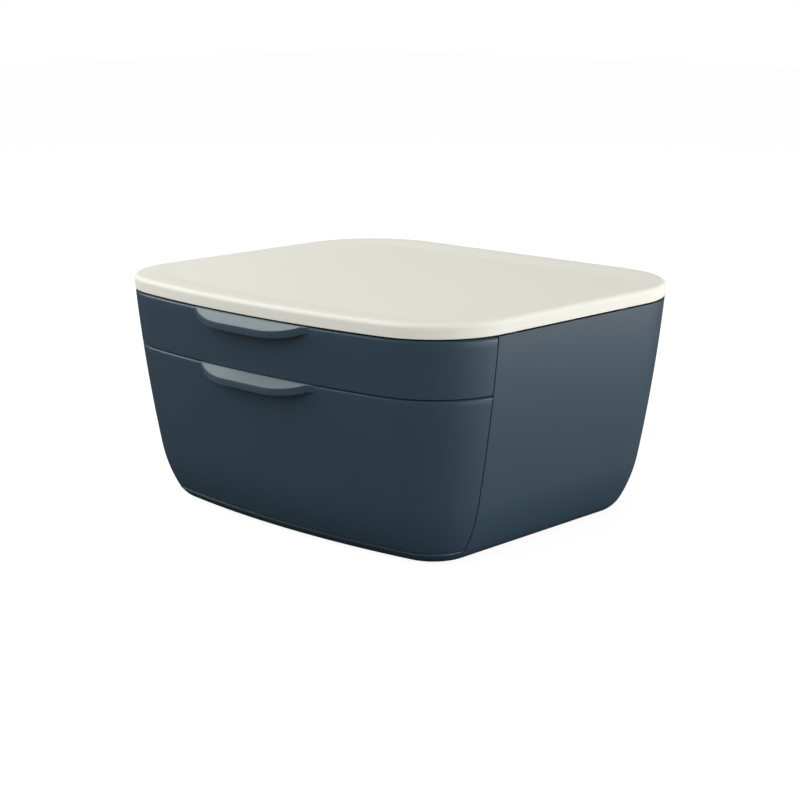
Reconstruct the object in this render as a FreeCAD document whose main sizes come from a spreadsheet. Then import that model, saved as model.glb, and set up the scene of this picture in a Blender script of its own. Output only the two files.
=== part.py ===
import FreeCAD, Part
import math
import os
import re
import Sketcher
from FreeCAD import Placement, Rotation, Vector

# Desktop file box with two drawers, in millimetres, Z up, front towards -Y.
# The origin is the centre of the outline's bounding box, on the table.

DOC = FreeCAD.newDocument("file_box")
SHEET = DOC.addObject("Spreadsheet::Sheet", "dims")

# Driving dimensions

SIZES = {
    # outline in plan, at the line where the cover meets the body
    "body_width": 370.0,
    "body_depth": 319.4,
    "front_corner_radius": 66.0,
    "rear_corner_radius": 75.0,
    "bow_radius": 847.0,
    # upright section of the body: three tangent arcs, steep at the top
    "wall_radius": 1370.0,
    "wall_lean_share": 0.0884,
    "belly_height": 45.0,
    "belly_radius": 115.0,
    "shoulder_height": 108.0,
    "toe_height": 10.0,
    "toe_radius": 24.0,
    # housing
    "housing_wall": 2.8,
    "floor_stand": 1.5,
    "floor_thickness": 3.0,
    "band_height": 9.5,
    "seam_setback": 70.9,
    "seam_gap": 1.0,
    # cover
    "cover_seam_height": 174.7,
    "cover_height": 11.1,
    "cover_flare": 0.7,
    "cover_edge_radius": 3.4,
    "cover_gap": 1.2,
    "cover_skin": 2.6,
    "cover_crest": 5.0,
    "dish_depth": 2.4,
    "dish_run": 28.0,
    "cover_rib": 2.0,
    "cover_rib_depth": 4.0,
    # drawer fronts
    "front_wall": 3.0,
    "lower_front_top": 130.0,
    "drawer_gap": 0.9,
    "band_gap": 0.8,
    "front_top_gap": 1.7,
    # pulls
    "pull_reach": 11.1,
    "lower_pull_setback": 4.6,
    "pull_flat": 40.0,
    "pull_end_radius": 72.0,
    "pull_tail_radius": 6.0,
    "pull_station": 66.0,
    "pull_slope_share": 0.48,
    "pull_sag_radius": 60.0,
    "pull_lip_height": 5.5,
    "pull_skin": 3.0,
    "pull_rim": 3.0,
    "pull_root": 2.5,
    "pull_foot_depth": 1.8,
    # trays
    "tray_clearance": 2.5,
    "tray_wall": 2.2,
    "tray_floor": 2.2,
    "tray_rim_height": 2.5,
    "tray_rim_lap": 1.3,
    "rim_drop": 8.5,
    # shelf between the drawers
    "shelf_drop": 3.5,
    "shelf_thickness": 2.5,
    "shelf_inset": 14.0,
    "ledge_depth": 6.0,
    "ledge_width": 16.0,
    "ledge_reach": 14.0,
    "ledge_spacing": 132.0,
    "ledge_middle": 12.0,
    "rear_ledge_spacing": 130.0,
    # rails under the trays
    "rail_width": 10.0,
    "rail_thickness": 3.0,
    "rail_spacing": 190.0,
    "rail_front_margin": 52.0,
    "rail_rear_margin": 48.0,
    "rail_plinth_height": 4.2,
    "rail_plinth_width": 14.0,
    "peg_width": 3.6,
    "peg_length": 2.2,
    "peg_play": 0.1,
    "peg_end": 16.0,
    "glide_gap": 0.3,
    "channel_play": 0.4,
    "channel_rib": 1.6,
    "channel_depth": 2.0,
    # stops at the back of the trays
    "drawer_travel": 200.0,
    "tongue_width": 60.0,
    "tongue_thickness": 2.5,
    "tongue_root": 15.0,
    "tongue_stand": 6.0,
    "tip_play": 0.7,
    "stop_play": 0.5,
    "stop_drop": 4.5,
    "stop_rib": 3.0,
    "tip_rib_spacing": 40.0,
    # screws and what holds them
    "screw_shank": 1.45,
    "screw_head": 2.8,
    "screw_head_height": 1.6,
    "screw_length": 6.5,
    "pilot_radius": 1.5,
    "clear_radius": 1.7,
    "boss_radius": 4.5,
    "boss_stand": 0.8,
    "boss_seat": 1.0,
    "boss_spacing": 180.0,
    "upper_boss_drop": 15.0,
    "lower_boss_drop": 20.0,
    "lower_boss_rise": 46.0,
    "tab_drop": 1.5,
    "tab_thickness": 2.5,
    "tab_width": 14.0,
    "tab_reach": 14.0,
    "tab_front_setback": 95.0,
    "tab_rear_setback": 95.0,
    # bumpers on the back wall
    "bumper_width": 14.0,
    "bumper_height": 12.0,
    "bumper_gap": 0.3,
    "bumper_spacing": 130.0,
    "bumper_drop": 16.5,
    # feet
    "foot_radius": 9.0,
    "foot_recess": 1.2,
    "foot_play": 0.25,
    "foot_inset": 8.0,
    # one overrun serves every cut
    "overrun": 12.0,
}

# Places worked out from the sizes

PLACES = {
    "half_width": "body_width / 2",
    "total_depth": "body_depth + cover_flare + pull_reach",
    "rear_y": "total_depth / 2 - cover_flare",
    "face_y": "rear_y - body_depth",
    "pull_y": "face_y - pull_reach",
    "seam_y": "face_y + seam_setback",
    "bow_y": "face_y + bow_radius",
    "front_x": "half_width - front_corner_radius",
    "bow_span": "bow_radius - front_corner_radius",
    "bow_drop": "sqrt(bow_span ^ 2 - front_x ^ 2)",
    "front_y": "bow_y - bow_drop",
    "rear_x": "half_width - rear_corner_radius",
    "rear_corner_y": "rear_y - rear_corner_radius",
    # centres of the three arcs of the wall
    "lean_root": "sqrt(1 + wall_lean_share ^ 2)",
    "wall_x": "half_width - wall_radius / lean_root",
    "wall_z": "cover_seam_height + wall_radius * wall_lean_share / lean_root",
    "belly_sine": "(belly_height - wall_z) / wall_radius",
    "belly_x": "wall_x + (wall_radius - belly_radius) * sqrt(1 - belly_sine ^ 2)",
    "belly_z": "wall_z + (wall_radius - belly_radius) * belly_sine",
    "toe_sine": "(toe_height - belly_z) / belly_radius",
    "toe_x": "belly_x + (belly_radius - toe_radius) * sqrt(1 - toe_sine ^ 2)",
    "toe_z": "belly_z + (belly_radius - toe_radius) * toe_sine",
    # levels
    "floor_top": "floor_stand + floor_thickness",
    "housing_top": "cover_seam_height - cover_gap",
    "upper_front_bottom": "lower_front_top + drawer_gap",
    "upper_front_top": "cover_seam_height - front_top_gap",
    "lower_front_bottom": "band_height + band_gap",
    "overall_height": "cover_seam_height + cover_height",
    "dish_height": "overall_height - dish_depth",
    "cover_underside": "dish_height - cover_skin",
    "shelf_underside": "lower_front_top - shelf_drop",
    "shelf_top": "shelf_underside + shelf_thickness",
    "tab_top": "housing_top - tab_drop",
    "upper_tray_rim": "housing_top - rim_drop",
    "lower_tray_rim": "shelf_underside - rim_drop",
    "upper_boss_height": "upper_tray_rim - upper_boss_drop",
    "lower_boss_height": "lower_tray_rim - lower_boss_drop",
    "upper_bumper_height": "upper_tray_rim - bumper_drop",
    "lower_bumper_height": "lower_tray_rim - bumper_drop",
    "lower_rail_seat": "floor_top + rail_plinth_height",
    "lower_tray_bottom": "lower_rail_seat + rail_thickness + glide_gap",
    "upper_tray_bottom": "shelf_top + rail_thickness + glide_gap",
    "lower_tongue_top": "shelf_underside - tip_play",
    "upper_tongue_top": "upper_tray_rim + tongue_stand",
    "tip_rib_bottom": "upper_tongue_top + tip_play",
    # insets of one shell behind another, all measured level
    "tray_inset": "housing_wall + tray_clearance",
    "floor_lap": "overrun / 4",
    "rail_front_y": "face_y + rail_front_margin",
    "rail_rear_y": "rear_y - rail_rear_margin",
    "rail_x": "rail_spacing / 2",
    "tab_x": "half_width - housing_wall - tab_reach / 2",
    "tab_front_y": "face_y + tab_front_setback",
    "tab_rear_y": "rear_y - tab_rear_setback",
    "boss_x": "boss_spacing / 2",
    "bumper_x": "bumper_spacing / 2",
    "foot_x": "front_x - foot_inset",
}


def fill_sheet():
    for row, (name, value) in enumerate(SIZES.items(), 1):
        SHEET.set(f"A{row}", name)
        SHEET.set(f"B{row}", str(value))
        SHEET.setAlias(f"B{row}", name)
    DOC.recompute()


def bound(text):
    """Turn words into references to the sheet, places first."""
    def swap(match):
        word = match.group(0)
        if word in PLACES:
            return "(" + bound(PLACES[word]) + ")"
        if word in SIZES:
            return "dims." + word
        return word
    return re.sub(r"[a-z_]+", swap, text)


def number(text):
    """Value of a size or place as the sheet now gives it."""
    return float(SHEET.evalExpression(bound(text)))


# The wall's section

def arc_at(height):
    """Centre and radius of the wall arc that passes a height."""
    level = number(height)
    if level >= number("belly_height"):
        return "wall_x", "wall_z", "wall_radius"
    if level >= number("toe_height"):
        return "belly_x", "belly_z", "belly_radius"
    return "toe_x", "toe_z", "toe_radius"


def wall_at(height, inset="0"):
    """Half-width of the body at a height, less a level inset."""
    centre_x, centre_z, radius = arc_at(height)
    return f"({centre_x} + sqrt({radius} ^ 2 - (({height}) - {centre_z}) ^ 2) - ({inset}))"


def inset_at(height, inset="0"):
    """How far the wall lies inside the plan outline at a height."""
    return f"(half_width - {wall_at(height, inset)})"


def rear_at(height, inset="0"):
    return f"(rear_y - {inset_at(height, inset)})"


def face_at(height, inset="0", x="0"):
    """Y of the bowed front at a height and a distance from the middle."""
    return f"(bow_y - sqrt((bow_radius - {inset_at(height, inset)}) ^ 2 - ({x}) ^ 2))"


ARC_JOINTS = ["toe_height", "belly_height"]
HOUSING_JOINTS = ARC_JOINTS + ["shoulder_height"]


def joints_between(bottom, top, joints):
    return [z for z in joints if number(bottom) < number(z) < number(top)]


def wall_rising(bottom, top, inset="0"):
    """Vertices up the wall's arcs from one height to another."""
    levels = [bottom] + joints_between(bottom, top, ARC_JOINTS)
    points = [(wall_at(z, inset), z, arc_at(z)[2], 1) for z in levels]
    return points + [(wall_at(top, inset), top)]


def chords_rising(bottom, top, inset="0", joints=ARC_JOINTS):
    """Hidden walls follow the same arcs as a few straight chords."""
    levels = [bottom] + joints_between(bottom, top, joints) + [top]
    return [(wall_at(z, inset), z) for z in levels]


def chords_falling(top, bottom, inset="0", joints=ARC_JOINTS):
    return chords_rising(bottom, top, inset, joints)[::-1]


def housing_inside_at(height):
    """Half-width inside the housing, where its inner wall is a chord."""
    levels = ["floor_top"] + HOUSING_JOINTS + ["housing_top"]
    above = next(i for i, z in enumerate(levels) if number(z) >= number(height))
    low, high = levels[above - 1], levels[above]
    low_x, high_x = wall_at(low, "housing_wall"), wall_at(high, "housing_wall")
    return f"({low_x} + ({high_x} - {low_x}) * (({height}) - {low}) / ({high} - {low}))"


# The plan outline

def outline(inset="0"):
    """Rounded rectangle with a bowed front, counter-clockwise, less an inset."""
    rear_radius = f"rear_corner_radius - ({inset})"
    front_radius = f"front_corner_radius - ({inset})"
    bow = f"bow_radius - ({inset})"
    side = f"half_width - ({inset})"
    back = f"rear_y - ({inset})"
    bow_x = f"({bow}) * front_x / bow_span"
    bow_end_y = f"bow_y - ({bow}) * bow_drop / bow_span"
    return [
        (side, "0"),
        (side, "rear_corner_y", rear_radius, 1),
        ("rear_x", back),
        ("-rear_x", back, rear_radius, 1),
        (f"-({side})", "rear_corner_y"),
        (f"-({side})", "front_y", front_radius, 1),
        (f"-({bow_x})", bow_end_y, bow, 1),
        (bow_x, bow_end_y, front_radius, 1),
        (side, "front_y"),
    ]


def box_outline(left, right, low, high):
    return [(left, low), (right, low), (right, high), (left, high)]


# Sketches and features

def new_body(name):
    body = DOC.addObject("PartDesign::Body", name)
    body.Label = name
    return body


def plane_of(body, role):
    return next(item for item in body.Origin.OriginFeatures if item.Role == role)


def new_sketch(body, name, role="XY_Plane", level="0"):
    """Sketch on one of the body's own planes, lifted along its normal."""
    sketch = body.newObject("Sketcher::SketchObject", name)
    sketch.AttachmentSupport = [(plane_of(body, role), "")]
    sketch.MapMode = "FlatFace"
    if level != "0":
        sketch.setExpression("AttachmentOffset.Base.z", bound(level))
    return sketch


def edge_between(start, end, radius, turn):
    """Line, or the short arc of a radius that turns left (1) or right (-1)."""
    if not radius:
        return Part.LineSegment(start, end)
    chord = end - start
    middle = (start + end) / 2
    side = Vector(-chord.y, chord.x, 0).normalize()
    rise = math.sqrt(radius ** 2 - (chord.Length / 2) ** 2)
    centre = middle + side * rise * turn
    first, last = (start, end) if turn > 0 else (end, start)
    begin = math.atan2(first.y - centre.y, first.x - centre.x)
    finish = math.atan2(last.y - centre.y, last.x - centre.x)
    if finish < begin:
        finish += 2 * math.pi
    circle = Part.Circle(centre, Vector(0, 0, 1), radius)
    return Part.ArcOfCircle(circle, begin, finish)


def bind(sketch, constraint, text):
    index = sketch.addConstraint(constraint)
    sketch.setExpression(f"Constraints[{index}]", bound(text))


def draw(sketch, vertices):
    """Closed chain of lines and arcs, with every vertex and radius bound."""
    first = sketch.GeometryCount
    count = len(vertices)
    places = [Vector(number(v[0]), number(v[1]), 0) for v in vertices]
    ends = []
    edges = []
    for index, vertex in enumerate(vertices):
        radius, turn = (number(vertex[2]), vertex[3]) if len(vertex) > 2 else (0, 1)
        after = places[(index + 1) % count]
        edges.append(edge_between(places[index], after, radius, turn))
        ends.append((1, 2) if turn > 0 else (2, 1))
    sketch.addGeometry(edges, False)
    for index, vertex in enumerate(vertices):
        here = first + index
        after = (index + 1) % count
        sketch.addConstraint(Sketcher.Constraint(
            "Coincident", here, ends[index][1], first + after, ends[after][0]))
        start = ends[index][0]
        place = places[index]
        bind(sketch, Sketcher.Constraint("DistanceX", -1, 1, here, start, place.x), vertex[0])
        bind(sketch, Sketcher.Constraint("DistanceY", -1, 1, here, start, place.y), vertex[1])
        if len(vertex) > 2:
            bind(sketch, Sketcher.Constraint("Radius", here, number(vertex[2])), vertex[2])


def draw_circle(sketch, x, y, radius):
    centre = Vector(number(x), number(y), 0)
    here = sketch.addGeometry(
        Part.Circle(centre, Vector(0, 0, 1), number(radius)), False)
    bind(sketch, Sketcher.Constraint("DistanceX", -1, 1, here, 3, centre.x), x)
    bind(sketch, Sketcher.Constraint("DistanceY", -1, 1, here, 3, centre.y), y)
    bind(sketch, Sketcher.Constraint("Radius", here, number(radius)), radius)


def pad(body, sketch, length, name, reverse=False):
    feature = body.newObject("PartDesign::Pad", name)
    feature.Profile = sketch
    feature.setExpression("Length", bound(length))
    feature.Reversed = reverse
    DOC.recompute()
    return feature


def pocket(body, sketch, length, name, reverse=False):
    """Cut against the sketch's normal, or along it when reversed."""
    before = body.Shape.Volume
    feature = body.newObject("PartDesign::Pocket", name)
    feature.Profile = sketch
    feature.setExpression("Length", bound(length))
    feature.Reversed = reverse
    DOC.recompute()
    if not body.Shape.Volume < before:
        raise RuntimeError(f"{body.Label}: {name} cuts nothing")
    return feature


def ring(body, section, name):
    """Sweep an upright section once round the plan outline."""
    path = new_sketch(body, name + "_path")
    draw(path, outline())
    profile = new_sketch(body, name + "_section", "XZ_Plane")
    draw(profile, section)
    sweep = body.newObject("PartDesign::AdditivePipe", name)
    sweep.Profile = profile
    sweep.Spine = (path, [])
    DOC.recompute()
    return sweep


def plate(body, vertices, bottom, top, name):
    """Pad a plan shape between two levels."""
    sketch = new_sketch(body, name + "_plan", level=bottom)
    draw(sketch, vertices)
    return pad(body, sketch, f"({top}) - ({bottom})", name)


def blocks(body, rectangles, bottom, top, name):
    """Pad several rectangles of a plan between two levels."""
    sketch = new_sketch(body, name + "_plan", level=bottom)
    for rectangle in rectangles:
        draw(sketch, box_outline(*rectangle))
    return pad(body, sketch, f"({top}) - ({bottom})", name)


def holes_down(body, centres, radius, top, depth, name):
    """Round holes cut downwards from a level."""
    sketch = new_sketch(body, name + "_plan", level=top)
    for x, y in centres:
        draw_circle(sketch, x, y, radius)
    return pocket(body, sketch, depth, name)


def both_sides(centres):
    return centres + [(f"-({x})", y) for x, y in centres]


# Housing

def side_block(height, depth_reach, y, width):
    """Rectangle from the middle of the side wall inwards, centred on y."""
    root = wall_at(height, "housing_wall / 2")
    return (f"{root} - ({depth_reach})", root, f"({y}) - ({width}) / 2", f"({y}) + ({width}) / 2")


def mirrored(rectangle):
    left, right, low, high = rectangle
    return (f"-({right})", f"-({left})", low, high)


def ledge_places():
    return ["ledge_middle - ledge_spacing / 2", "ledge_middle + ledge_spacing / 2"]


LEDGE_MIDDLE_LEVEL = "(shelf_underside - ledge_depth / 2)"


def tab_rectangles():
    found = []
    for y in ("tab_front_y", "tab_rear_y"):
        block = side_block("tab_top - tab_thickness", "tab_reach", y, "tab_width")
        found += [block, mirrored(block)]
    return found


def tab_centres():
    return both_sides([("tab_x", "tab_front_y"), ("tab_x", "tab_rear_y")])


def ledge_centres():
    """Screws through the shelf, above the middle of each side ledge."""
    x = "half_width - shelf_inset - boss_radius"
    return both_sides([(x, y) for y in ledge_places()])


def foot_centres():
    front = ("foot_x", "front_y + foot_inset")
    rear = ("foot_x", "rear_corner_y")
    return {
        "foot_front_right": front,
        "foot_front_left": (f"-({front[0]})", front[1]),
        "foot_rear_right": rear,
        "foot_rear_left": (f"-({rear[0]})", rear[1]),
    }


def peg_places():
    return ["rail_front_y + peg_end", "rail_rear_y - peg_end"]


def peg_outline(x, y, play="0"):
    half = f"(peg_width / 2 + {play})"
    return (f"{x} - {half}", f"{x} + {half}", f"{y} - {half}", f"{y} + {half}")


def cut_peg_holes(body, top, depth):
    sketch = new_sketch(body, "peg_hole_plan", level=top)
    for y in peg_places():
        hole = peg_outline("rail_x", y, "peg_play")
        draw(sketch, box_outline(*hole))
        draw(sketch, box_outline(*mirrored(hole)))
    return pocket(body, sketch, depth, "peg_holes")


def make_housing():
    body = new_body("housing")
    floor_edge = inset_at("floor_top", "housing_wall + floor_lap")
    inner = chords_falling("housing_top", "floor_top", "housing_wall", HOUSING_JOINTS)
    section = wall_rising("floor_stand", "housing_top") + inner
    section += [
        (f"half_width - {floor_edge}", "floor_top"),
        (f"half_width - {floor_edge}", "floor_stand"),
    ]
    ring(body, section, "shell")
    plate(body, outline(inset_at("floor_top", "housing_wall")), "floor_stand", "floor_top", "floor")

    # The drawers' opening leaves only the band along the front's foot.
    opening = new_sketch(body, "opening_plan", level="band_height")
    wide = "half_width + overrun"
    draw(opening, box_outline(f"-({wide})", wide, "face_y - overrun", "seam_y + seam_gap / 2"))
    pocket(body, opening, "overall_height", "drawer_opening", reverse=True)

    # Plinths that carry the lower rails
    plinths = []
    for centre in ("rail_x", "-rail_x"):
        plinths.append((f"{centre} - rail_plinth_width / 2", f"{centre} + rail_plinth_width / 2",
                        "rail_front_y - channel_rib", "rail_rear_y + channel_rib"))
    blocks(body, plinths, "floor_top - floor_thickness / 2", "lower_rail_seat", "plinths")

    # Ledges that carry the shelf
    ledges = []
    for y in ledge_places():
        block = side_block(LEDGE_MIDDLE_LEVEL, "ledge_reach", y, "ledge_width")
        ledges += [block, mirrored(block)]
    root = rear_at(LEDGE_MIDDLE_LEVEL, "housing_wall / 2")
    low_x = "rear_ledge_spacing / 2 - ledge_width / 2"
    high_x = "rear_ledge_spacing / 2 + ledge_width / 2"
    rear_block = (low_x, high_x, f"{root} - ledge_reach", root)
    ledges += [rear_block, mirrored(rear_block)]
    blocks(body, ledges, "shelf_underside - ledge_depth", "shelf_underside", "ledges")

    # Tabs under the cover's bosses
    blocks(body, tab_rectangles(), "tab_top - tab_thickness", "tab_top", "tabs")

    cut_peg_holes(body, "lower_rail_seat", "peg_length + peg_play")
    holes_down(body, ledge_centres(), "pilot_radius",
               "shelf_underside", "ledge_depth", "ledge_pilots")
    holes_down(body, tab_centres(), "clear_radius", "tab_top", "tab_thickness", "tab_holes")

    recesses = new_sketch(body, "recess_plan", level="floor_stand")
    for x, y in foot_centres().values():
        draw_circle(recesses, x, y, "foot_radius + foot_play")
    pocket(body, recesses, "foot_recess", "foot_recesses", reverse=True)
    return body


# Cover

def make_cover():
    body = new_body("top_cover")
    lip = "half_width + cover_flare"
    edge_z = "overall_height - cover_edge_radius"
    crest = "half_width + cover_flare - cover_edge_radius"
    crest_end = f"{crest} - cover_crest"
    dish_x = f"{crest_end} - dish_run"
    half_x = f"{crest_end} - dish_run / 2"
    half_z = "overall_height - dish_depth / 2"
    sweep_radius = "((dish_run / 2) ^ 2 + (dish_depth / 2) ^ 2) / dish_depth"
    inner = "half_width - cover_skin"
    section = [
        ("half_width", "cover_seam_height"),
        (lip, edge_z, "cover_edge_radius", 1),
        (crest, "overall_height"),
        (crest_end, "overall_height", sweep_radius, 1),
        (half_x, half_z, sweep_radius, -1),
        (dish_x, "dish_height"),
        (f"{dish_x} - floor_lap", "dish_height"),
        (f"{dish_x} - floor_lap", "cover_underside"),
        (inner, "cover_underside"),
        (inner, "cover_seam_height"),
    ]
    ring(body, section, "rim")
    plate(body, outline(f"half_width - ({dish_x})"), "cover_underside", "dish_height", "dish")

    # Stop rib for the upper drawer, and two ribs that keep it from tipping
    stop_y = stop_rear_y("upper")
    tongue_side = "tongue_width / 2"
    stop = (f"-{tongue_side}", tongue_side, f"{stop_y} - stop_rib", stop_y)
    blocks(body, [stop], "tip_rib_bottom - stop_drop", "cover_underside + cover_skin / 2", "stop_rib")
    tip = ("tip_rib_spacing / 2 - cover_rib / 2", "tip_rib_spacing / 2 + cover_rib / 2",
           f"{stop_y} - stop_rib / 2", "rear_y - rail_rear_margin / 2")
    blocks(body, [tip, mirrored(tip)], "tip_rib_bottom", "cover_underside + cover_skin / 2", "tip_ribs")

    # Stiffening ribs across the underside
    reach = "half_width - dish_run"
    cross = []
    for y in ("front_y", "(front_y + rear_corner_y) / 2", "rear_corner_y"):
        for low, high in ((f"-({reach})", "-tongue_width"), ("tongue_width", reach)):
            cross.append((low, high, f"{y} - cover_rib / 2", f"{y} + cover_rib / 2"))
    blocks(body, cross, "cover_underside - cover_rib_depth",
           "cover_underside + cover_skin / 2", "cross_ribs")

    # Bosses over the housing's tabs, with blind holes for screws
    bosses = new_sketch(body, "boss_plan", level="tab_top")
    for x, y in tab_centres():
        draw_circle(bosses, x, y, "boss_radius")
    pad(body, bosses, "cover_underside + cover_skin / 2 - tab_top", "bosses")
    pilots = new_sketch(body, "pilot_plan", level="tab_top")
    for x, y in tab_centres():
        draw_circle(pilots, x, y, "pilot_radius")
    pocket(body, pilots, "screw_length", "boss_pilots", reverse=True)
    return body


# Shelf between the drawers

def make_shelf():
    body = new_body("shelf")
    plate(body, outline("shelf_inset"), "shelf_underside", "shelf_top", "panel")
    stop_y = stop_rear_y("lower")
    side = "tongue_width / 2"
    stop = (f"-{side}", side, f"{stop_y} - stop_rib", stop_y)
    blocks(body, [stop], "shelf_underside - stop_drop", "shelf_underside + shelf_thickness / 2", "stop_rib")
    holes_down(body, ledge_centres(), "clear_radius",
               "shelf_top", "shelf_thickness", "screw_holes")
    cut_peg_holes(body, "shelf_top", "shelf_thickness")
    return body


# Rails

def make_rail(name, x, seat):
    """Slippery strip with rounded ends, pressed in by two square pegs."""
    body = new_body(name)
    half = "rail_width / 2"
    sketch = new_sketch(body, "strip_plan")
    draw(sketch, [
        (half, f"rail_front_y + {half}"),
        (half, f"rail_rear_y - {half}", half, 1),
        ("0", "rail_rear_y", half, 1),
        (f"-{half}", f"rail_rear_y - {half}"),
        (f"-{half}", f"rail_front_y + {half}", half, 1),
        ("0", "rail_front_y", half, 1),
    ])
    pad(body, sketch, "rail_thickness", "strip")
    pegs = new_sketch(body, "peg_plan")
    for y in peg_places():
        draw(pegs, box_outline(*peg_outline("0", y)))
    pad(body, pegs, "peg_length", "pegs", reverse=True)
    body.setExpression("Placement.Base.x", bound(x))
    body.setExpression("Placement.Base.z", bound(seat))
    return body


# Trays

DRAWERS = {
    "upper": {
        "tray_bottom": "upper_tray_bottom",
        "tray_rim": "upper_tray_rim",
        "tongue_top": "upper_tongue_top",
        "front_bottom": "upper_front_bottom",
        "front_top": "upper_front_top",
        "pull_y": "pull_y",
        "bosses": ["upper_boss_height"],
    },
    "lower": {
        "tray_bottom": "lower_tray_bottom",
        "tray_rim": "lower_tray_rim",
        "tongue_top": "lower_tongue_top",
        "front_bottom": "lower_front_bottom",
        "front_top": "lower_front_top",
        "pull_y": "(pull_y + lower_pull_setback)",
        "bosses": ["lower_boss_height", "(lower_boss_height - lower_boss_rise)"],
    },
}


def tongue_y(drawer):
    """Front face of the tongue behind a tray's back wall, drawer closed."""
    rim = DRAWERS[drawer]["tray_rim"]
    root = rear_at(f"{rim} - tongue_root", "tray_inset + tray_wall / 2")
    return f"({root} - tongue_thickness)"


def stop_rear_y(drawer):
    """Face of the rib that the tongue meets when the drawer is pulled out."""
    return f"({tongue_y(drawer)} - drawer_travel - stop_play)"


def boss_seat_y(height):
    """Plane where a drawer front's boss meets its tray's."""
    return f"({face_at(height, 'tray_inset', 'boss_x')} - boss_stand)"


def boss_back_y(height):
    return f"({face_at(height, 'tray_inset + tray_wall', 'boss_x')} + boss_seat)"


def cylinders_along_y(body, height, low_y, high_y, radius, name, cut=False):
    """Round bars or holes at both boss places, from low_y to high_y."""
    sketch = new_sketch(body, name + "_plan", "XZ_Plane", f"-({high_y})")
    for x in ("boss_x", "-boss_x"):
        draw_circle(sketch, x, height, radius)
    length = f"({high_y}) - ({low_y})"
    if cut:
        return pocket(body, sketch, length, name, reverse=True)
    return pad(body, sketch, length, name)


def make_tray(drawer):
    body = new_body(drawer + "_tray")
    bottom = DRAWERS[drawer]["tray_bottom"]
    rim = DRAWERS[drawer]["tray_rim"]
    floor = f"({bottom} + tray_floor)"
    lap_z = f"({rim} - tray_rim_height)"
    floor_edge = f"half_width - {inset_at(floor, 'tray_inset + tray_wall + floor_lap')}"
    section = chords_rising(bottom, lap_z, "tray_inset")
    section += [
        (wall_at(lap_z, "tray_inset - tray_rim_lap"), lap_z),
        (wall_at(lap_z, "tray_inset - tray_rim_lap"), rim),
    ]
    section += chords_falling(rim, floor, "tray_inset + tray_wall")
    section += [(floor_edge, floor), (floor_edge, bottom)]
    ring(body, section, "walls")
    plate(body, outline(inset_at(floor, "tray_inset + tray_wall")), bottom, floor, "floor")

    # Two ribs each side straddle a rail.
    ribs = []
    near = "rail_x + rail_width / 2 + channel_play"
    far = "rail_x - rail_width / 2 - channel_play"
    for low, high in ((near, f"{near} + channel_rib"), (f"{far} - channel_rib", far)):
        rib = (low, high, "rail_front_y", "rail_rear_y")
        ribs += [rib, mirrored(rib)]
    blocks(body, ribs, f"{bottom} - channel_depth", f"{bottom} + tray_floor / 2", "channels")

    # The tongue behind the back wall meets the stop rib and keeps the tray level.
    side = "tongue_width / 2"
    tongue = (f"-{side}", side, tongue_y(drawer), f"{tongue_y(drawer)} + tongue_thickness")
    blocks(body, [tongue], f"{rim} - tongue_root", DRAWERS[drawer]["tongue_top"], "tongue")

    for row, height in enumerate(DRAWERS[drawer]["bosses"], 1):
        seat = boss_seat_y(height)
        back = boss_back_y(height)
        cylinders_along_y(body, height, seat, back, "boss_radius", f"boss_{row}")
        cylinders_along_y(body, height, seat, back, "clear_radius", f"boss_hole_{row}", cut=True)
    return body


# Drawer fronts with their pulls

def pull_plan(drawer, rim="0"):
    """Plan of a pull: straight lip, sweeping ends, short tails into the face."""
    top = DRAWERS[drawer]["front_top"]
    out_y = f"({DRAWERS[drawer]['pull_y']} + ({rim}))"
    foot_y = f"({face_at(top, 'pull_foot_depth', 'pull_station')})"
    end_radius = f"(pull_end_radius - ({rim}))"
    both_radii = f"({end_radius} + pull_tail_radius)"
    cosine = f"(1 - ({foot_y} - {out_y}) / {both_radii})"
    sine = f"sqrt(1 - {cosine} ^ 2)"
    flat = "pull_flat / 2"
    swell_x = f"{flat} + {end_radius} * {sine}"
    swell_y = f"{out_y} + {end_radius} * (1 - {cosine})"
    tail_x = f"{flat} + {both_radii} * {sine}"
    back_inset = f"({inset_at(top, 'pull_root')})"
    back_y = f"bow_y - sqrt((bow_radius - {back_inset}) ^ 2 - ({tail_x}) ^ 2)"
    return [
        (f"-({flat})", out_y),
        (flat, out_y, end_radius, 1),
        (swell_x, swell_y, "pull_tail_radius", -1),
        (tail_x, foot_y),
        (tail_x, back_y, f"bow_radius - {back_inset}", -1),
        (f"-({tail_x})", back_y),
        (f"-({tail_x})", foot_y, "pull_tail_radius", -1),
        (f"-({swell_x})", swell_y, end_radius, 1),
    ]


def pull_fall(drawer):
    """How far the pull's top drops from the face to the lip."""
    top = DRAWERS[drawer]["front_top"]
    return f"(({face_at(top)} - {DRAWERS[drawer]['pull_y']}) * pull_slope_share)"


def prism_up(name, vertices, bottom, top):
    body = new_body(name)
    plate(body, vertices, bottom, top, "prism")
    return body


def prism_across(name, vertices, half_length):
    """Pad an upright section that faces along X, equally to both sides."""
    body = new_body(name)
    sketch = new_sketch(body, "prism_plan", "YZ_Plane", f"-({half_length})")
    draw(sketch, vertices)
    pad(body, sketch, f"2 * ({half_length})", "prism")
    return body


def common(name, base, tool):
    result = DOC.addObject("Part::Common", name)
    result.Base = base
    result.Tool = tool
    DOC.recompute()
    return result


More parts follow.
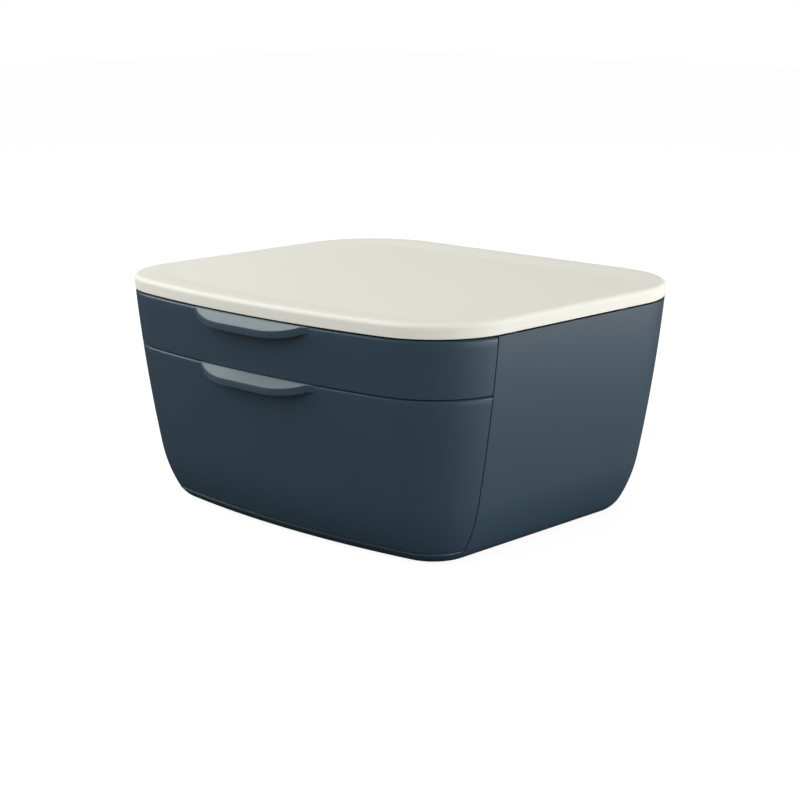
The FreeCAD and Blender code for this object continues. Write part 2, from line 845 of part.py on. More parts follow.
def make_pull(drawer):
    """Tilted slab with a hooked lip, as a solid and the hollow under it."""
    top = DRAWERS[drawer]["front_top"]
    out_y = DRAWERS[drawer]["pull_y"]
    fall = pull_fall(drawer)
    face = face_at(top)
    low = f"{top} - {fall} - pull_lip_height - overrun"
    wide = "pull_station + overrun"
    inside = f"{face} + overrun"
    slab_plan = prism_up(drawer + "_pull_plan", pull_plan(drawer), low, f"{top} + overrun")
    slab_side = prism_across(drawer + "_pull_side", [
        (out_y + " - overrun", f"{top} - {fall} - overrun * pull_slope_share"),
        (out_y + " - overrun", f"{top} - {fall} - pull_lip_height"),
        (out_y, f"{top} - {fall} - pull_lip_height"),
        (face, f"{top} - pull_lip_height"),
        (inside, f"{top} - pull_lip_height"),
        (inside, top),
        (face, top, "pull_sag_radius", -1),
        (out_y, f"{top} - {fall}"),
    ], wide)
    slab = common(drawer + "_pull_slab", slab_plan, slab_side)
    hollow_plan = prism_up(drawer + "_hollow_plan", pull_plan(drawer, "pull_rim"), low, top)
    root_y = f"({face} - pull_root / 2)"
    hollow_top = f"{top} - pull_skin"
    hollow_side = prism_across(drawer + "_hollow_side", [
        (out_y, low),
        (root_y, low),
        (root_y, f"{hollow_top} - pull_root * pull_slope_share"),
        (out_y, f"{hollow_top} - {fall}"),
    ], wide)
    hollow = common(drawer + "_pull_hollow", hollow_plan, hollow_side)
    return slab, hollow


def make_front(drawer):
    shell = new_body(drawer + "_front_shell")
    bottom = DRAWERS[drawer]["front_bottom"]
    top = DRAWERS[drawer]["front_top"]
    section = wall_rising(bottom, top)
    section += chords_falling(top, bottom, "front_wall", HOUSING_JOINTS)
    ring(shell, section, "panel")
    behind = new_sketch(shell, "behind_plan")
    wide = "half_width + overrun"
    draw(behind, box_outline(f"-({wide})", wide, "seam_y - seam_gap / 2", "rear_y + overrun"))
    pocket(shell, behind, "overall_height", "seam_cut", reverse=True)
    for row, height in enumerate(DRAWERS[drawer]["bosses"], 1):
        root = face_at(height, "front_wall / 2", "boss_x")
        seat = boss_seat_y(height)
        cylinders_along_y(shell, height, root, seat, "boss_radius", f"boss_{row}")
        cylinders_along_y(shell, height, root, seat, "pilot_radius", f"pilot_{row}", cut=True)
    pull, hollow = make_pull(drawer)
    joined = DOC.addObject("Part::Fuse", drawer + "_front_joined")
    joined.Base = shell
    joined.Tool = pull
    front = DOC.addObject("Part::Cut", drawer + "_front")
    front.Label = drawer + "_front"
    front.Base = joined
    front.Tool = hollow
    DOC.recompute()
    return front


# Bumpers

def make_bumper(name, x, height):
    """Soft pad on the back wall that follows the wall's curve."""
    body = new_body(name)
    low = f"({height} - bumper_height / 2)"
    high = f"({height} + bumper_height / 2)"
    face = "tray_inset - bumper_gap"
    sketch = new_sketch(body, "pad_section", "YZ_Plane", f"({x}) - bumper_width / 2")
    draw(sketch, [
        (f"rear_y - half_width + {housing_inside_at(low)}", low),
        (f"rear_y - half_width + {housing_inside_at(high)}", high),
        (rear_at(high, face), high),
        (rear_at(low, face), low),
    ])
    pad(body, sketch, "bumper_width", "pad")
    return body


# Feet

def make_foot(name, place):
    body = new_body(name)
    sketch = new_sketch(body, "foot_plan")
    draw_circle(sketch, "0", "0", "foot_radius")
    pad(body, sketch, "floor_stand + foot_recess", "foot")
    body.setExpression("Placement.Base.x", bound(place[0]))
    body.setExpression("Placement.Base.y", bound(place[1]))
    return body


# Screws, one node for each group

HEXAGON = 6
FULL_TURN = 360

def screw_shape():
    """Hexagon-headed screw pointing down, its head's seat at the origin."""
    height = number("screw_head_height")
    shank = number("screw_shank")
    length = number("screw_length")
    corners = [Vector(number("screw_head"), 0, 0)]
    for turn in range(HEXAGON):
        spin = Rotation(Vector(0, 0, 1), FULL_TURN / HEXAGON * (turn + 1))
        corners.append(spin.multVec(corners[0]))
    hexagon = Part.Face(Part.makePolygon(corners))
    top = hexagon.extrude(Vector(0, 0, height))
    stem = Part.makeCylinder(shank, length, Vector(), Vector(0, 0, -1))
    return top.fuse(stem).removeSplitter()


def make_screws(name, places, turn=Rotation()):
    """Copies of the screw with their seats at places given as (x, y, z)."""
    shape = screw_shape()
    copies = []
    for place in places:
        spot = Vector(*[number(text) for text in place])
        copy = shape.copy()
        copy.Placement = Placement(spot, turn)
        copies.append(copy)
    group = DOC.addObject("Part::Feature", name)
    group.Label = name
    group.Shape = Part.Compound(copies)
    group.Placement = Placement()
    return group


def at_level(centres, level):
    return [(x, y, level) for x, y in centres]


UPWARDS = Rotation(Vector(1, 0, 0), FULL_TURN / 2)
FORWARDS = Rotation(Vector(1, 0, 0), -FULL_TURN / 4)


def front_screw_places(drawer):
    found = []
    for height in DRAWERS[drawer]["bosses"]:
        for x in ("boss_x", "-boss_x"):
            found.append((x, boss_back_y(height), height))
    return found


# The whole file box

def build():
    fill_sheet()
    subparts = [make_housing(), make_cover(), make_shelf()]
    for drawer, seat in (("upper", "shelf_top"), ("lower", "lower_rail_seat")):
        subparts.append(make_rail(drawer + "_left_rail", "-rail_x", seat))
        subparts.append(make_rail(drawer + "_right_rail", "rail_x", seat))
        subparts.append(make_tray(drawer))
        subparts.append(make_front(drawer))
        height = drawer + "_bumper_height"
        subparts.append(make_bumper(drawer + "_left_bumper", "-bumper_x", height))
        subparts.append(make_bumper(drawer + "_right_bumper", "bumper_x", height))
        subparts.append(make_screws(drawer + "_front_screws", front_screw_places(drawer), FORWARDS))
    for name, place in foot_centres().items():
        subparts.append(make_foot(name, place))
    shelf_screws = at_level(ledge_centres(), "shelf_top")
    subparts.append(make_screws("shelf_screws", shelf_screws))
    cover_screws = at_level(tab_centres(), "tab_top - tab_thickness")
    subparts.append(make_screws("cover_screws", cover_screws, UPWARDS))
    DOC.recompute()
    return subparts


def check_and_write(subparts):
    for item in DOC.Objects:
        if "Invalid" in item.State or "Error" in item.State:
            raise RuntimeError(f"{item.Label} failed: {item.State}")
    for item in subparts:
        if item.Shape.isNull() or not item.Shape.isValid():
            raise RuntimeError(f"{item.Label} has no valid shape")
    os.makedirs("parts", exist_ok=True)
    for item in subparts:
        item.Shape.exportStep(f"parts/{item.Label}.step")
        box = item.Shape.BoundBox
        print(f"{item.Label}: {len(item.Shape.Solids)} solids, {item.Shape.Volume / 1000:.1f} cm3,"
              f" x {box.XMin:.1f} {box.XMax:.1f} y {box.YMin:.1f} {box.YMax:.1f}"
              f" z {box.ZMin:.1f} {box.ZMax:.1f}")


check_and_write(build())
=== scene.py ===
import math

import bmesh
import bpy
import numpy as np
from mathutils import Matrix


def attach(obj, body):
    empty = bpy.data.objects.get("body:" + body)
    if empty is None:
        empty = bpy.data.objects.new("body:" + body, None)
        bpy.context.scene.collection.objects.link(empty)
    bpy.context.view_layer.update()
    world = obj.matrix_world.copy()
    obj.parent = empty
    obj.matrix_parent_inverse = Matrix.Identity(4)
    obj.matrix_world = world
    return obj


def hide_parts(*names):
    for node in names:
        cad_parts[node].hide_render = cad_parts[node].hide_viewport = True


bl_info = {
    "name": "Two-Drawer File Box",
    "version": (1, 0, 0),
    "blender": (4, 5, 0),
    "location": "3D View > Sidebar > File Box",
    "description": "Moulded covers, drawer fronts, pulls and fittings of a desktop file box",
    "category": "Object",
}

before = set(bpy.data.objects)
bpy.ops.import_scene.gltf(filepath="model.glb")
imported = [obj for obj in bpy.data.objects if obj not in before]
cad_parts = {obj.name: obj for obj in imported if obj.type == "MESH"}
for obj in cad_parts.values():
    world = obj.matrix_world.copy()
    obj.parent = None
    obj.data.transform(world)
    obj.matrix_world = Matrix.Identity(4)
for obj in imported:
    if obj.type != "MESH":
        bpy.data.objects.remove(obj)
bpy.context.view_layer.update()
MM = 0.001


# Sizes and colours

def linear(code):
    """An sRGB hex colour as the linear numbers that shaders take."""
    values = np.array([int(code[i:i + 2], 16) for i in (1, 3, 5)]) / 255
    curve = np.where(values <= 0.04045, values / 12.92, ((values + 0.055) / 1.055) ** 2.4)
    return tuple(float(v) for v in curve)


def length(name, words, millimetres):
    return bpy.props.FloatProperty(
        name=name, description=words, default=millimetres * MM, unit="LENGTH", precision=5)


def colour(name, words, code):
    return bpy.props.FloatVectorProperty(
        name=name, description=words, default=linear(code), subtype="COLOR", size=3,
        min=0.0, max=1.0)


class FileBoxSizes(bpy.types.PropertyGroup):
    moulded_edge: length("Moulded edge", "Rounding of the parted edges of body and fronts", 0.45)
    top_edge: length("Top edge", "Rounding of the upper outer edge of fronts and band", 1.3)
    cover_hem: length("Cover hem", "Rounding of the cover's lower edge", 0.6)
    pull_brow: length("Pull brow", "Rounding where a pull's top turns down into its lip", 1.1)
    pull_hem: length("Pull hem", "Rounding of the lip's lower edge", 0.7)
    grain: length("Grain", "Spacing of the fine texture that the mould leaves", 0.7)
    thread_pitch: length("Thread pitch", "Rise of one turn of a plastics screw", 1.1)


class FileBoxColours(bpy.types.PropertyGroup):
    body: colour("Body", "Slate-blue plastic of body and drawer fronts", "#2c3f4c")
    # painted sheen: the paler pull-top tone stands in for the light that the pulls' upper sides
    # catch
    pull: colour("Pull top", "Paler tone on the upper side of the pulls", "#6e7a7e")
    cover: colour("Cover", "Cream plastic of the cover", "#d2d1c7")
    tray: colour("Tray", "Darker plastic inside the drawers", "#2b3740")
    rail: colour("Rail", "Acetal of the running strips", "#d9d9d2")
    rubber: colour("Rubber", "Feet and bumpers", "#26282a")
    zinc: colour("Zinc", "Plated screws", "#b9bbbd")


# Plan and wall, in millimetres

HALF_TURN = math.pi
FACING_FRONT = 1.5 * HALF_TURN
HALF_WIDTH = 185.0
REAR_Y = 164.9
REAR_CENTRE = (110.0, 89.9)
REAR_MIRROR = (-REAR_CENTRE[0], REAR_CENTRE[1])
REAR_RADIUS = 75.0
FRONT_CENTRE = (119.0, -79.3808)
FRONT_MIRROR = (-FRONT_CENTRE[0], FRONT_CENTRE[1])
FRONT_RADIUS = 66.0
BOW_Y = 692.5
BOW_RADIUS = 847.0
BOW_TURN = math.asin(FRONT_CENTRE[0] / (BOW_RADIUS - FRONT_RADIUS))
SEAM_Y = -83.6
SEAM_GAP = 1.0

# points along each stretch of the outline
SEAM_STEPS = 5
SIDE_STEPS = 13
BACK_STEPS = 17
CORNER_STEPS = 33
BOW_STEPS = 65
PLAIN_BOW_STEPS = 49

# the wall's uppermost arc, then radius and upper end of each arc below it
WALL_TOP = 174.7
WALL_LEAN_SHARE = 0.0884
WALL_RADIUS = 1370.0
LOWER_ARCS = ((115.0, 45.0), (24.0, 10.0))


def wall_arcs():
    """Centre x and z, radius and lowest height of each arc, from the table up.

    Each lower arc's centre lies on the radius that the arc above it ends with, so they share a
    tangent.
    """
    root = math.hypot(1, WALL_LEAN_SHARE)
    centre_x = HALF_WIDTH - WALL_RADIUS / root
    centre_z = WALL_TOP + WALL_RADIUS * WALL_LEAN_SHARE / root
    rows = [[centre_x, centre_z, WALL_RADIUS, 0.0]]
    for radius, joint in LOWER_ARCS:
        above = rows[0][2]
        rows[0][3] = joint
        sine = (joint - centre_z) / above
        step = above - radius
        centre_x += step * math.sqrt(1 - sine ** 2)
        centre_z += step * sine
        rows.insert(0, [centre_x, centre_z, radius, 0.0])
    return np.array(rows)


WALL_ARCS = wall_arcs()


def wall_inset(height):
    """How far the wall stands inside the plan outline.

    It is the half-width less the horizontal reach of whichever arc holds that height.
    """
    height = np.asarray(height, float)
    which = np.searchsorted(WALL_ARCS[1:, 3], height, side="right")
    centre_x, centre_z, radius = WALL_ARCS[which, :3].T
    return HALF_WIDTH - centre_x - np.sqrt(radius ** 2 - (height - centre_z) ** 2)


def arc_stations(centre, radius, start, finish, count):
    """Stations along an arc: centre, radius, the way each faces, and no tie to the seam."""
    rows = np.zeros((count, 6))
    rows[:, :3] = *centre, radius
    rows[:, 3] = np.linspace(start, finish, count)
    return rows


def line_stations(start, finish, radius, facing, count):
    """Stations along a straight side: those of an arc whose centre slides."""
    rows = np.zeros((count, 6))
    rows[:, :2] = np.linspace(start, finish, count)
    rows[:, 2:4] = radius, facing
    return rows


def seam_stations(side, facing, shares):
    """Stations of a front corner from the way it faces, at share 0, to the seam, at share 1."""
    rows = np.zeros((len(shares), 6))
    rows[:] = side * FRONT_CENTRE[0], FRONT_CENTRE[1], FRONT_RADIUS, facing, 0.0, side
    rows[:, 4] = shares
    return rows


def on_plan(stations, inset, seam_y):
    """Points of every station at every inset: centre + (radius - inset) along the way it faces.

    A seam station turns by its share of the way to the seam's plane.
    """
    centre_x, centre_y, radius, facing, share, side = stations.T[:, :, None]
    reach = radius - np.atleast_2d(inset)
    dip = np.arcsin(np.clip((centre_y - seam_y) / reach, -1, 1))
    at_seam = np.where(side > 0, -dip, HALF_TURN + dip)
    facing = np.where(side == 0, facing, facing + (at_seam - facing) * share)
    return centre_x + reach * np.cos(facing), centre_y + reach * np.sin(facing)


def join(*runs):
    """Runs of stations end to end, without the doubled ends."""
    return np.vstack([runs[0]] + [run[1:] for run in runs[1:]])


def rear_path():
    """From the right seam round the back to the left seam."""
    return join(
        seam_stations(1, 0.0, np.linspace(1, 0, SEAM_STEPS)),
        line_stations(FRONT_CENTRE, (FRONT_CENTRE[0], REAR_CENTRE[1]), FRONT_RADIUS, 0.0,
                      SIDE_STEPS),
        arc_stations(REAR_CENTRE, REAR_RADIUS, 0.0, HALF_TURN / 2, CORNER_STEPS),
        line_stations(REAR_CENTRE, REAR_MIRROR, REAR_RADIUS, HALF_TURN / 2, BACK_STEPS),
        arc_stations(REAR_MIRROR, REAR_RADIUS, HALF_TURN / 2, HALF_TURN, CORNER_STEPS),
        line_stations((-FRONT_CENTRE[0], REAR_CENTRE[1]), FRONT_MIRROR, FRONT_RADIUS, HALF_TURN,
                      SIDE_STEPS),
        seam_stations(-1, HALF_TURN, np.linspace(0, 1, SEAM_STEPS)))


def front_path():
    """From the left seam across the bowed front to the right seam."""
    left, right = FACING_FRONT - BOW_TURN, -HALF_TURN / 2 + BOW_TURN
    return join(
        seam_stations(-1, left, np.linspace(1, 0, CORNER_STEPS)),
        arc_stations((0.0, BOW_Y), BOW_RADIUS, left, FACING_FRONT + BOW_TURN, BOW_STEPS),
        seam_stations(1, right, np.linspace(0, 1, CORNER_STEPS)))


def whole_path():
    """The closed outline, without the seams."""
    left, right = FACING_FRONT - BOW_TURN, FACING_FRONT + BOW_TURN
    front = join(
        arc_stations(FRONT_MIRROR, FRONT_RADIUS, HALF_TURN, left, CORNER_STEPS),
        arc_stations((0.0, BOW_Y), BOW_RADIUS, left, right, PLAIN_BOW_STEPS),
        arc_stations(FRONT_CENTRE, FRONT_RADIUS, right, 2 * HALF_TURN, CORNER_STEPS))
    return np.vstack([rear_path()[SEAM_STEPS - 1:1 - SEAM_STEPS], front[1:-1]])


# Surfaces

def ways_round(count):
    """Angles of one whole turn, without the last that would meet the first."""
    return np.linspace(0, 2 * HALF_TURN, count, endpoint=False)


def eased(count):
    """From -1 to 1, closer together at both ends."""
    return np.sin(np.linspace(-HALF_TURN / 2, HALF_TURN / 2, count))


def grid(rows, columns, round_rows=False, round_columns=False):
    """Quads between the neighbours of a grid whose points are numbered row by row."""
    index = np.arange(rows * columns).reshape(rows, columns)
    if round_rows:
        index = np.vstack([index, index[:1]])
    if round_columns:
        index = np.hstack([index, index[:, :1]])
    corners = index[:-1, :-1], index[1:, :-1], index[1:, 1:], index[:-1, 1:]
    return np.stack(corners, axis=-1).reshape(-1, 4)


def listed(x, y, z):
    """Coordinates as a list of points."""
    return np.stack(np.broadcast_arrays(x, y, z), axis=-1).reshape(-1, 3)


def swept(stations, inset, height, seam_y=SEAM_Y):
    """A section of insets and heights carried along stations, as a list of points.

    The section is one row, or a row for each station.
    """
    return listed(*on_plan(stations, inset, seam_y), height)


def closed(points, columns, poles, ends=(0, -1)):
    """A sheet whose rows go all the way round, with fans from its end columns to the poles."""
    rows = len(points) // columns
    faces = list(grid(rows, columns, round_rows=True))
    for pole, column in enumerate(ends, rows * columns):
        rim = np.arange(rows) * columns + column % columns
        faces += list(zip(rim, np.roll(rim, -1), np.full(rows, pole)))
    return np.vstack([points, *poles]), faces


def dished_plate(loop, section, seam_y=SEAM_Y, ends=(-1,)):
    """Rings of the outline at the section's insets and heights, closed by fans to the middle."""
    inset, height = np.array(section, float).T
    points = swept(loop, inset, height, seam_y)
    return closed(points, len(inset), [(0.0, 0.0, height[end]) for end in ends], ends)


def turned(radius, height, count):
    """Radii turned about an upright axis: one row of them, or one row for each way round."""
    turn = ways_round(count)[:, None]
    return listed(np.cos(turn) * radius, np.sin(turn) * radius, height)


def turned_solid(radius, height, count):
    """A turned sheet whose two ends are closed by fans."""
    poles = [(0.0, 0.0, height[0]), (0.0, 0.0, height[-1])]
    return closed(turned(radius, height, count), len(height), poles)


TUBE_STEPS = 40
FACINGS = {
    "up": np.eye(3),
    "down": np.diag([1.0, -1.0, -1.0]),
    "back": np.array([(1.0, 0.0, 0.0), (0.0, 0.0, 1.0), (0.0, -1.0, 0.0)]),
}


def placed(sheet, place, facing="up"):
    """A sheet with its upright axis turned to face up, down or back, then moved to its place."""
    points, faces = sheet
    return points @ FACINGS[facing].T + np.array(place, float), faces


def tube(outer, inner, low, high):
    """A tube between two radii about an upright axis."""
    points = turned([inner, outer, outer, inner], [low, low, high, high], TUBE_STEPS)
    return points, grid(TUBE_STEPS, 4, round_rows=True, round_columns=True)


def rib(x, y, root, tip, draft=0.2):
    """A moulded rib between limits in plan, its free end smaller by the draft."""
    corners = []
    for z, less in ((root, 0.0), (tip, draft)):
        left, right, low, high = x[0] + less, x[1] - less, y[0] + less, y[1] - less
        corners += [(left, low, z), (right, low, z), (right, high, z), (left, high, z)]
    sides = [(i, (i + 1) % 4, (i + 1) % 4 + 4, i + 4) for i in range(4)]
    return np.array(corners), [(3, 2, 1, 0), (4, 5, 6, 7)] + sides


def both_ways(limits):
    """A pair of limits in x, and its mirror image."""
    low, high = limits
    return [(low, high), (-high, -low)]


def bend(start, corner, finish, count):
    """A bend in a section: the parabola that leaves start towards the corner and ends at finish."""
    t = np.linspace(0, 1, count)[:, None]
    start, corner, finish = np.array([start, corner, finish], float)
    return (1 - t) ** 2 * start + 2 * t * (1 - t) * corner + t ** 2 * finish


WELD = 0.004


class Surface:
    """Points and faces gathered from several sheets of one piece."""

    def __init__(self, *sheets):
        self.points, self.faces, self.count = [], [], 0
        for sheet in sheets:
            self.add(*sheet)

    def add(self, points, faces):
        """Faces count from the sheet's own first point."""
        self.points.append(np.asarray(points, float))
        self.faces += [tuple(int(i) + self.count for i in face) for face in faces]
        self.count += len(points)

    def mesh(self, name):
        made = bpy.data.meshes.new(name)
        made.from_pydata(np.vstack(self.points) * MM, [], self.faces)
        work = bmesh.new()
        work.from_mesh(made)
        bmesh.ops.remove_doubles(work, verts=work.verts, dist=WELD * MM)
        bmesh.ops.recalc_face_normals(work, faces=work.faces)
        work.to_mesh(made)
        work.free()
        made.shade_smooth()
        return made


def linked(name, data):
    """An object that shows the data, in the scene's own collection."""
    made = bpy.data.objects.new(name, data)
    bpy.context.scene.collection.objects.link(made)
    return made


SHARP_TURN = 35.0


def piece(name, surface, body, material, stands_for=(), edge=0.0):
    """Puts a surface into the scene, rounds its edges and lets it ride on a body."""
    mesh = surface.mesh(name)
    made = linked(name, mesh)
    mesh.materials.append(material)
    if edge:
        rounding = made.modifiers.new("edge", "BEVEL")
        rounding.width = edge
        rounding.segments = 3
        rounding.limit_method = "ANGLE"
        rounding.angle_limit = math.radians(SHARP_TURN)
        rounding.harden_normals = True
    else:
        mesh.set_sharp_from_angle(angle=math.radians(SHARP_TURN))
    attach(made, body)
    if stands_for:
        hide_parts(*stands_for)
    return made


# Body

SIDES = (("left", -1), ("right", 1))
HOUSING_WALL = 2.8
FLOOR_STAND = 1.5
FLOOR_TOP = 4.5
BAND_TOP = 9.5
BAND_FADE = 0.06
# rows of points from the underside to the band's top
BAND_LEVELS = (FLOOR_STAND, 3.0, FLOOR_TOP, 6.5, BAND_TOP)
HOUSING_TOP = 173.5
# rings of points on floor and underside, from the wall inwards
FLOOR_RINGS = (0.0, 6.0, 18.0)
LEVEL_SPACING = 3.5
LEVEL_CROWDING = 1.25
EDGE_STEPS = 4
SHELF_BOTTOM = 126.5
SHELF_TOP = 129.0
SHELF_INSET = 14.0
LOWER_RAIL_SEAT = 8.7
LEDGE_DEPTH = 6.0
LEDGE_REACH = 14.0
LEDGE_WIDTH = 16.0
LEDGE_Y = (-54.0, 78.0)
REAR_LEDGE_X = 65.0
TAB_TOP = 172.0
TAB_THICKNESS = 2.5
TAB_WIDTH = 14.0
TAB_REACH = 14.0
TAB_X = 175.2
SHELF_SCREW_X = 166.5
TAB_Y = (-59.5, 69.9)
PLINTH_WIDTH = 14.0
PLINTH_ROOT = 1.5
RAIL_X = 95.0
RAIL_Y = (-102.5, 116.9)
RAIL_WIDTH = 10.0
RAIL_THICKNESS = 3.0
CHANNEL_RIB = 1.6
CHANNEL_PLAY = 0.4
CHANNEL_DEPTH = 2.0
BOSS_RADIUS = 4.5
BOSS_X = 90.0
PILOT_RADIUS = 1.5
CLEAR_RADIUS = 1.7


def wall_levels(bottom, top):
    """Heights up a wall, closer together where its foot curves in."""
    count = max(3, int((top - bottom) / LEVEL_SPACING))
    return bottom + (top - bottom) * np.linspace(0, 1, count) ** LEVEL_CROWDING


def outer_wall(heights):
    """Insets and heights of the outside of the wall."""
    return np.column_stack([wall_inset(heights), heights])


def rolled_edge(top, roll):
    """From the wall over a slope of half a right angle to the top, softened at both its ends."""
    low, corner = outer_wall(np.array([top - roll, top]))
    high = corner + (roll, 0.0)
    quarter = (high - low) / 4
    return np.vstack([
        bend(low - (0.0, roll / 4), low, low + quarter, EDGE_STEPS),
        bend(high - quarter, high, high + (roll / 4, 0.0), EDGE_STEPS)])


def add_wall(made, stations, outer, wall, seam, closed_below):
    """A thick wall with capped ends, whose section goes up the outside and down the inside."""
    count = len(outer)
    inner = outer_wall(outer[::-1, 1]) + (wall, 0.0)
    inset, height = np.vstack([outer, inner]).T
    points = swept(stations, inset, height, seam)
    made.add(points, grid(len(stations), 2 * count, round_columns=closed_below))
    across = [(j, j + 1, 2 * count - 2 - j, 2 * count - 1 - j) for j in range(count - 1)]
    made.add(points[:2 * count], across)
    made.add(points[-2 * count:], [face[::-1] for face in across])


def band_edge(stations, roll):
    """The band's sloped upper edge, a row for each station, square where it runs into the wall."""
    along = np.linspace(0, 1, len(stations))
    share = np.clip(np.minimum(along, 1 - along) / BAND_FADE, 0, 1)[:, None, None]
    corner = outer_wall(np.array([BAND_TOP]))
    return corner + (rolled_edge(BAND_TOP, roll) - corner) * share


def housing_surface(roll):
    """The wall's section goes round the back and the band's across the front, over two floors."""
    made = Surface()
    seam = SEAM_Y + SEAM_GAP / 2
    low = np.array(BAND_LEVELS)
    down = low[low >= FLOOR_TOP][::-1]
    inner_low = wall_inset(down) + HOUSING_WALL
    rear, front = rear_path(), front_path()
    for stations in (rear, front):
        made.add(swept(stations, inner_low, down, seam), grid(len(stations), len(down)))
    made.add(swept(rear, wall_inset(low), low, seam), grid(len(rear), len(low)))
    edge = band_edge(front, roll)
    below = np.broadcast_to(outer_wall(low[:-1]), (len(front), len(low) - 1, 2))
    inner = np.broadcast_to((inner_low[0], BAND_TOP), (len(front), 1, 2))
    band = np.concatenate([below, edge, inner], axis=1)
    made.add(swept(front, band[..., 0], band[..., 1], seam), grid(*band.shape[:2]))
    high = outer_wall(wall_levels(BAND_TOP, HOUSING_TOP))
    add_wall(made, rear, high, HOUSING_WALL, seam, False)
    loop = np.vstack([rear, front[1:-1]])
    for level, inside in ((FLOOR_STAND, 0.0), (FLOOR_TOP, HOUSING_WALL)):
        edge = float(wall_inset(level)) + inside
        made.add(*dished_plate(loop, [(edge + ring, level) for ring in FLOOR_RINGS], seam))
    housing_fittings(made)
    return made


def inwards(edge, height, reach):
    """Limits from within the wall's thickness inwards, at a height."""
    root = edge - float(wall_inset(height)) - HOUSING_WALL / 2
    return root - reach, root


def around(middle, width):
    """Limits at half the width on each side of a middle."""
    return middle - width / 2, middle + width / 2


def housing_fittings(made):
    """Plinths under the lower rails, ledges under the shelf, and tabs under the cover's bosses."""
    y = RAIL_Y[0] - CHANNEL_RIB, RAIL_Y[1] + CHANNEL_RIB
    for x in both_ways(around(RAIL_X, PLINTH_WIDTH)):
        made.add(*rib(x, y, FLOOR_TOP - PLINTH_ROOT, LOWER_RAIL_SEAT))
    low = SHELF_BOTTOM - LEDGE_DEPTH
    middle = SHELF_BOTTOM - LEDGE_DEPTH / 2
    for y in LEDGE_Y:
        for x in both_ways(inwards(HALF_WIDTH, middle, LEDGE_REACH)):
            made.add(*rib(x, around(y, LEDGE_WIDTH), low, SHELF_BOTTOM, 0.0))
    for x in both_ways(around(REAR_LEDGE_X, LEDGE_WIDTH)):
        made.add(*rib(x, inwards(REAR_Y, middle, LEDGE_REACH), low, SHELF_BOTTOM, 0.0))
    for y in TAB_Y:
        for x in both_ways(inwards(HALF_WIDTH, TAB_TOP - TAB_THICKNESS, TAB_REACH)):
            made.add(*rib(x, around(y, TAB_WIDTH), TAB_TOP - TAB_THICKNESS, TAB_TOP, 0.0))


# Drawer fronts

FRONT_WALL = 3.0
FRONTS = {
    "upper": {"bottom": 130.9, "top": 173.5, "lip": -165.6},
    "lower": {"bottom": 10.3, "top": 130.0, "lip": -161.0},
}
PULL_FLAT = 20.0
PULL_END_RADIUS = 72.0
PULL_TAIL_RADIUS = 6.0
PULL_STATION = 66.0
PULL_FOOT_DEPTH = 1.8
PULL_SLOPE = 0.48
PULL_SAG_RADIUS = 60.0
PULL_LIP = 5.5
PULL_RIM = 3.0
PULL_SKIN = 3.0
PULL_STEPS = 141
# how far the section stops short of the lip's end, and how deep its root lies
PULL_END_PLAY = 0.3
PULL_ROOT_DEPTH = 2.2
# least depth of the section, and how far its top lies under the front's
PULL_LEAST = 0.05
PULL_DROP = 0.02
# half the hollow's width, its cut upper corner, and where its hem ends
HOLLOW_REACH = 54.0
HOLLOW_CORNER = 0.8
HOLLOW_HEM_SHARE = 0.6
# where the brow's arc starts, in degrees, and the largest brow and hem, of the depth
BROW_START = 115.0
BROW_SHARE = 0.3
HEM_SHARE = 0.2


def face_y(inset, x):
    """Y of the bowed face at an inset: the bow's circle read at x."""
    return BOW_Y - np.sqrt((BOW_RADIUS - inset) ** 2 - np.asarray(x, float) ** 2)


def front_surface(bottom, top, bosses, roll):
    """The wall's section, up its outside and down its inside, carried from seam to seam.

    Its upper outer edge is sloped. The screw bosses stand behind it.
    """
    made = Surface()
    outer = np.vstack([outer_wall(wall_levels(bottom, top - roll))[:-1], rolled_edge(top, roll)])
    add_wall(made, front_path(), outer, FRONT_WALL, SEAM_Y - SEAM_GAP / 2, True)
    add_bosses(made, bosses, PILOT_RADIUS, (FRONT_WALL / 2, 0.0), BOSS_SEAT)
    return made


def lip_line(x, lip, foot, inside=0.0):
    """Y of a pull's plan edge: level in the middle, then a round end, then a hollow tail."""
    end = PULL_END_RADIUS - inside
    out = lip + inside
    both = end + PULL_TAIL_RADIUS
    cosine = 1 - (foot - out) / both
    sine = math.sqrt(1 - cosine ** 2)
    away = np.maximum(np.abs(x) - PULL_FLAT, 0)
    swell = out + end - np.sqrt(np.maximum(end ** 2 - np.minimum(away, end) ** 2, 0))
    back = np.clip(both * sine - away, 0, PULL_TAIL_RADIUS)
    tail = foot - PULL_TAIL_RADIUS + np.sqrt(PULL_TAIL_RADIUS ** 2 - back ** 2)
    return np.where(away > both * sine, foot, np.where(away > end * sine, tail, swell))


def pull_top(y, face, lip, top):
    """Height of a pull's upper side: level behind the face, then a slope with a slight sag."""
    run = np.clip((face - y) / (face - lip), 0, 1)
    chord = (face - lip) * math.hypot(1, PULL_SLOPE)
    sag = chord ** 2 / (8 * PULL_SAG_RADIUS)
    return top - run * (face - lip) * PULL_SLOPE - 4 * sag * run * (1 - run)


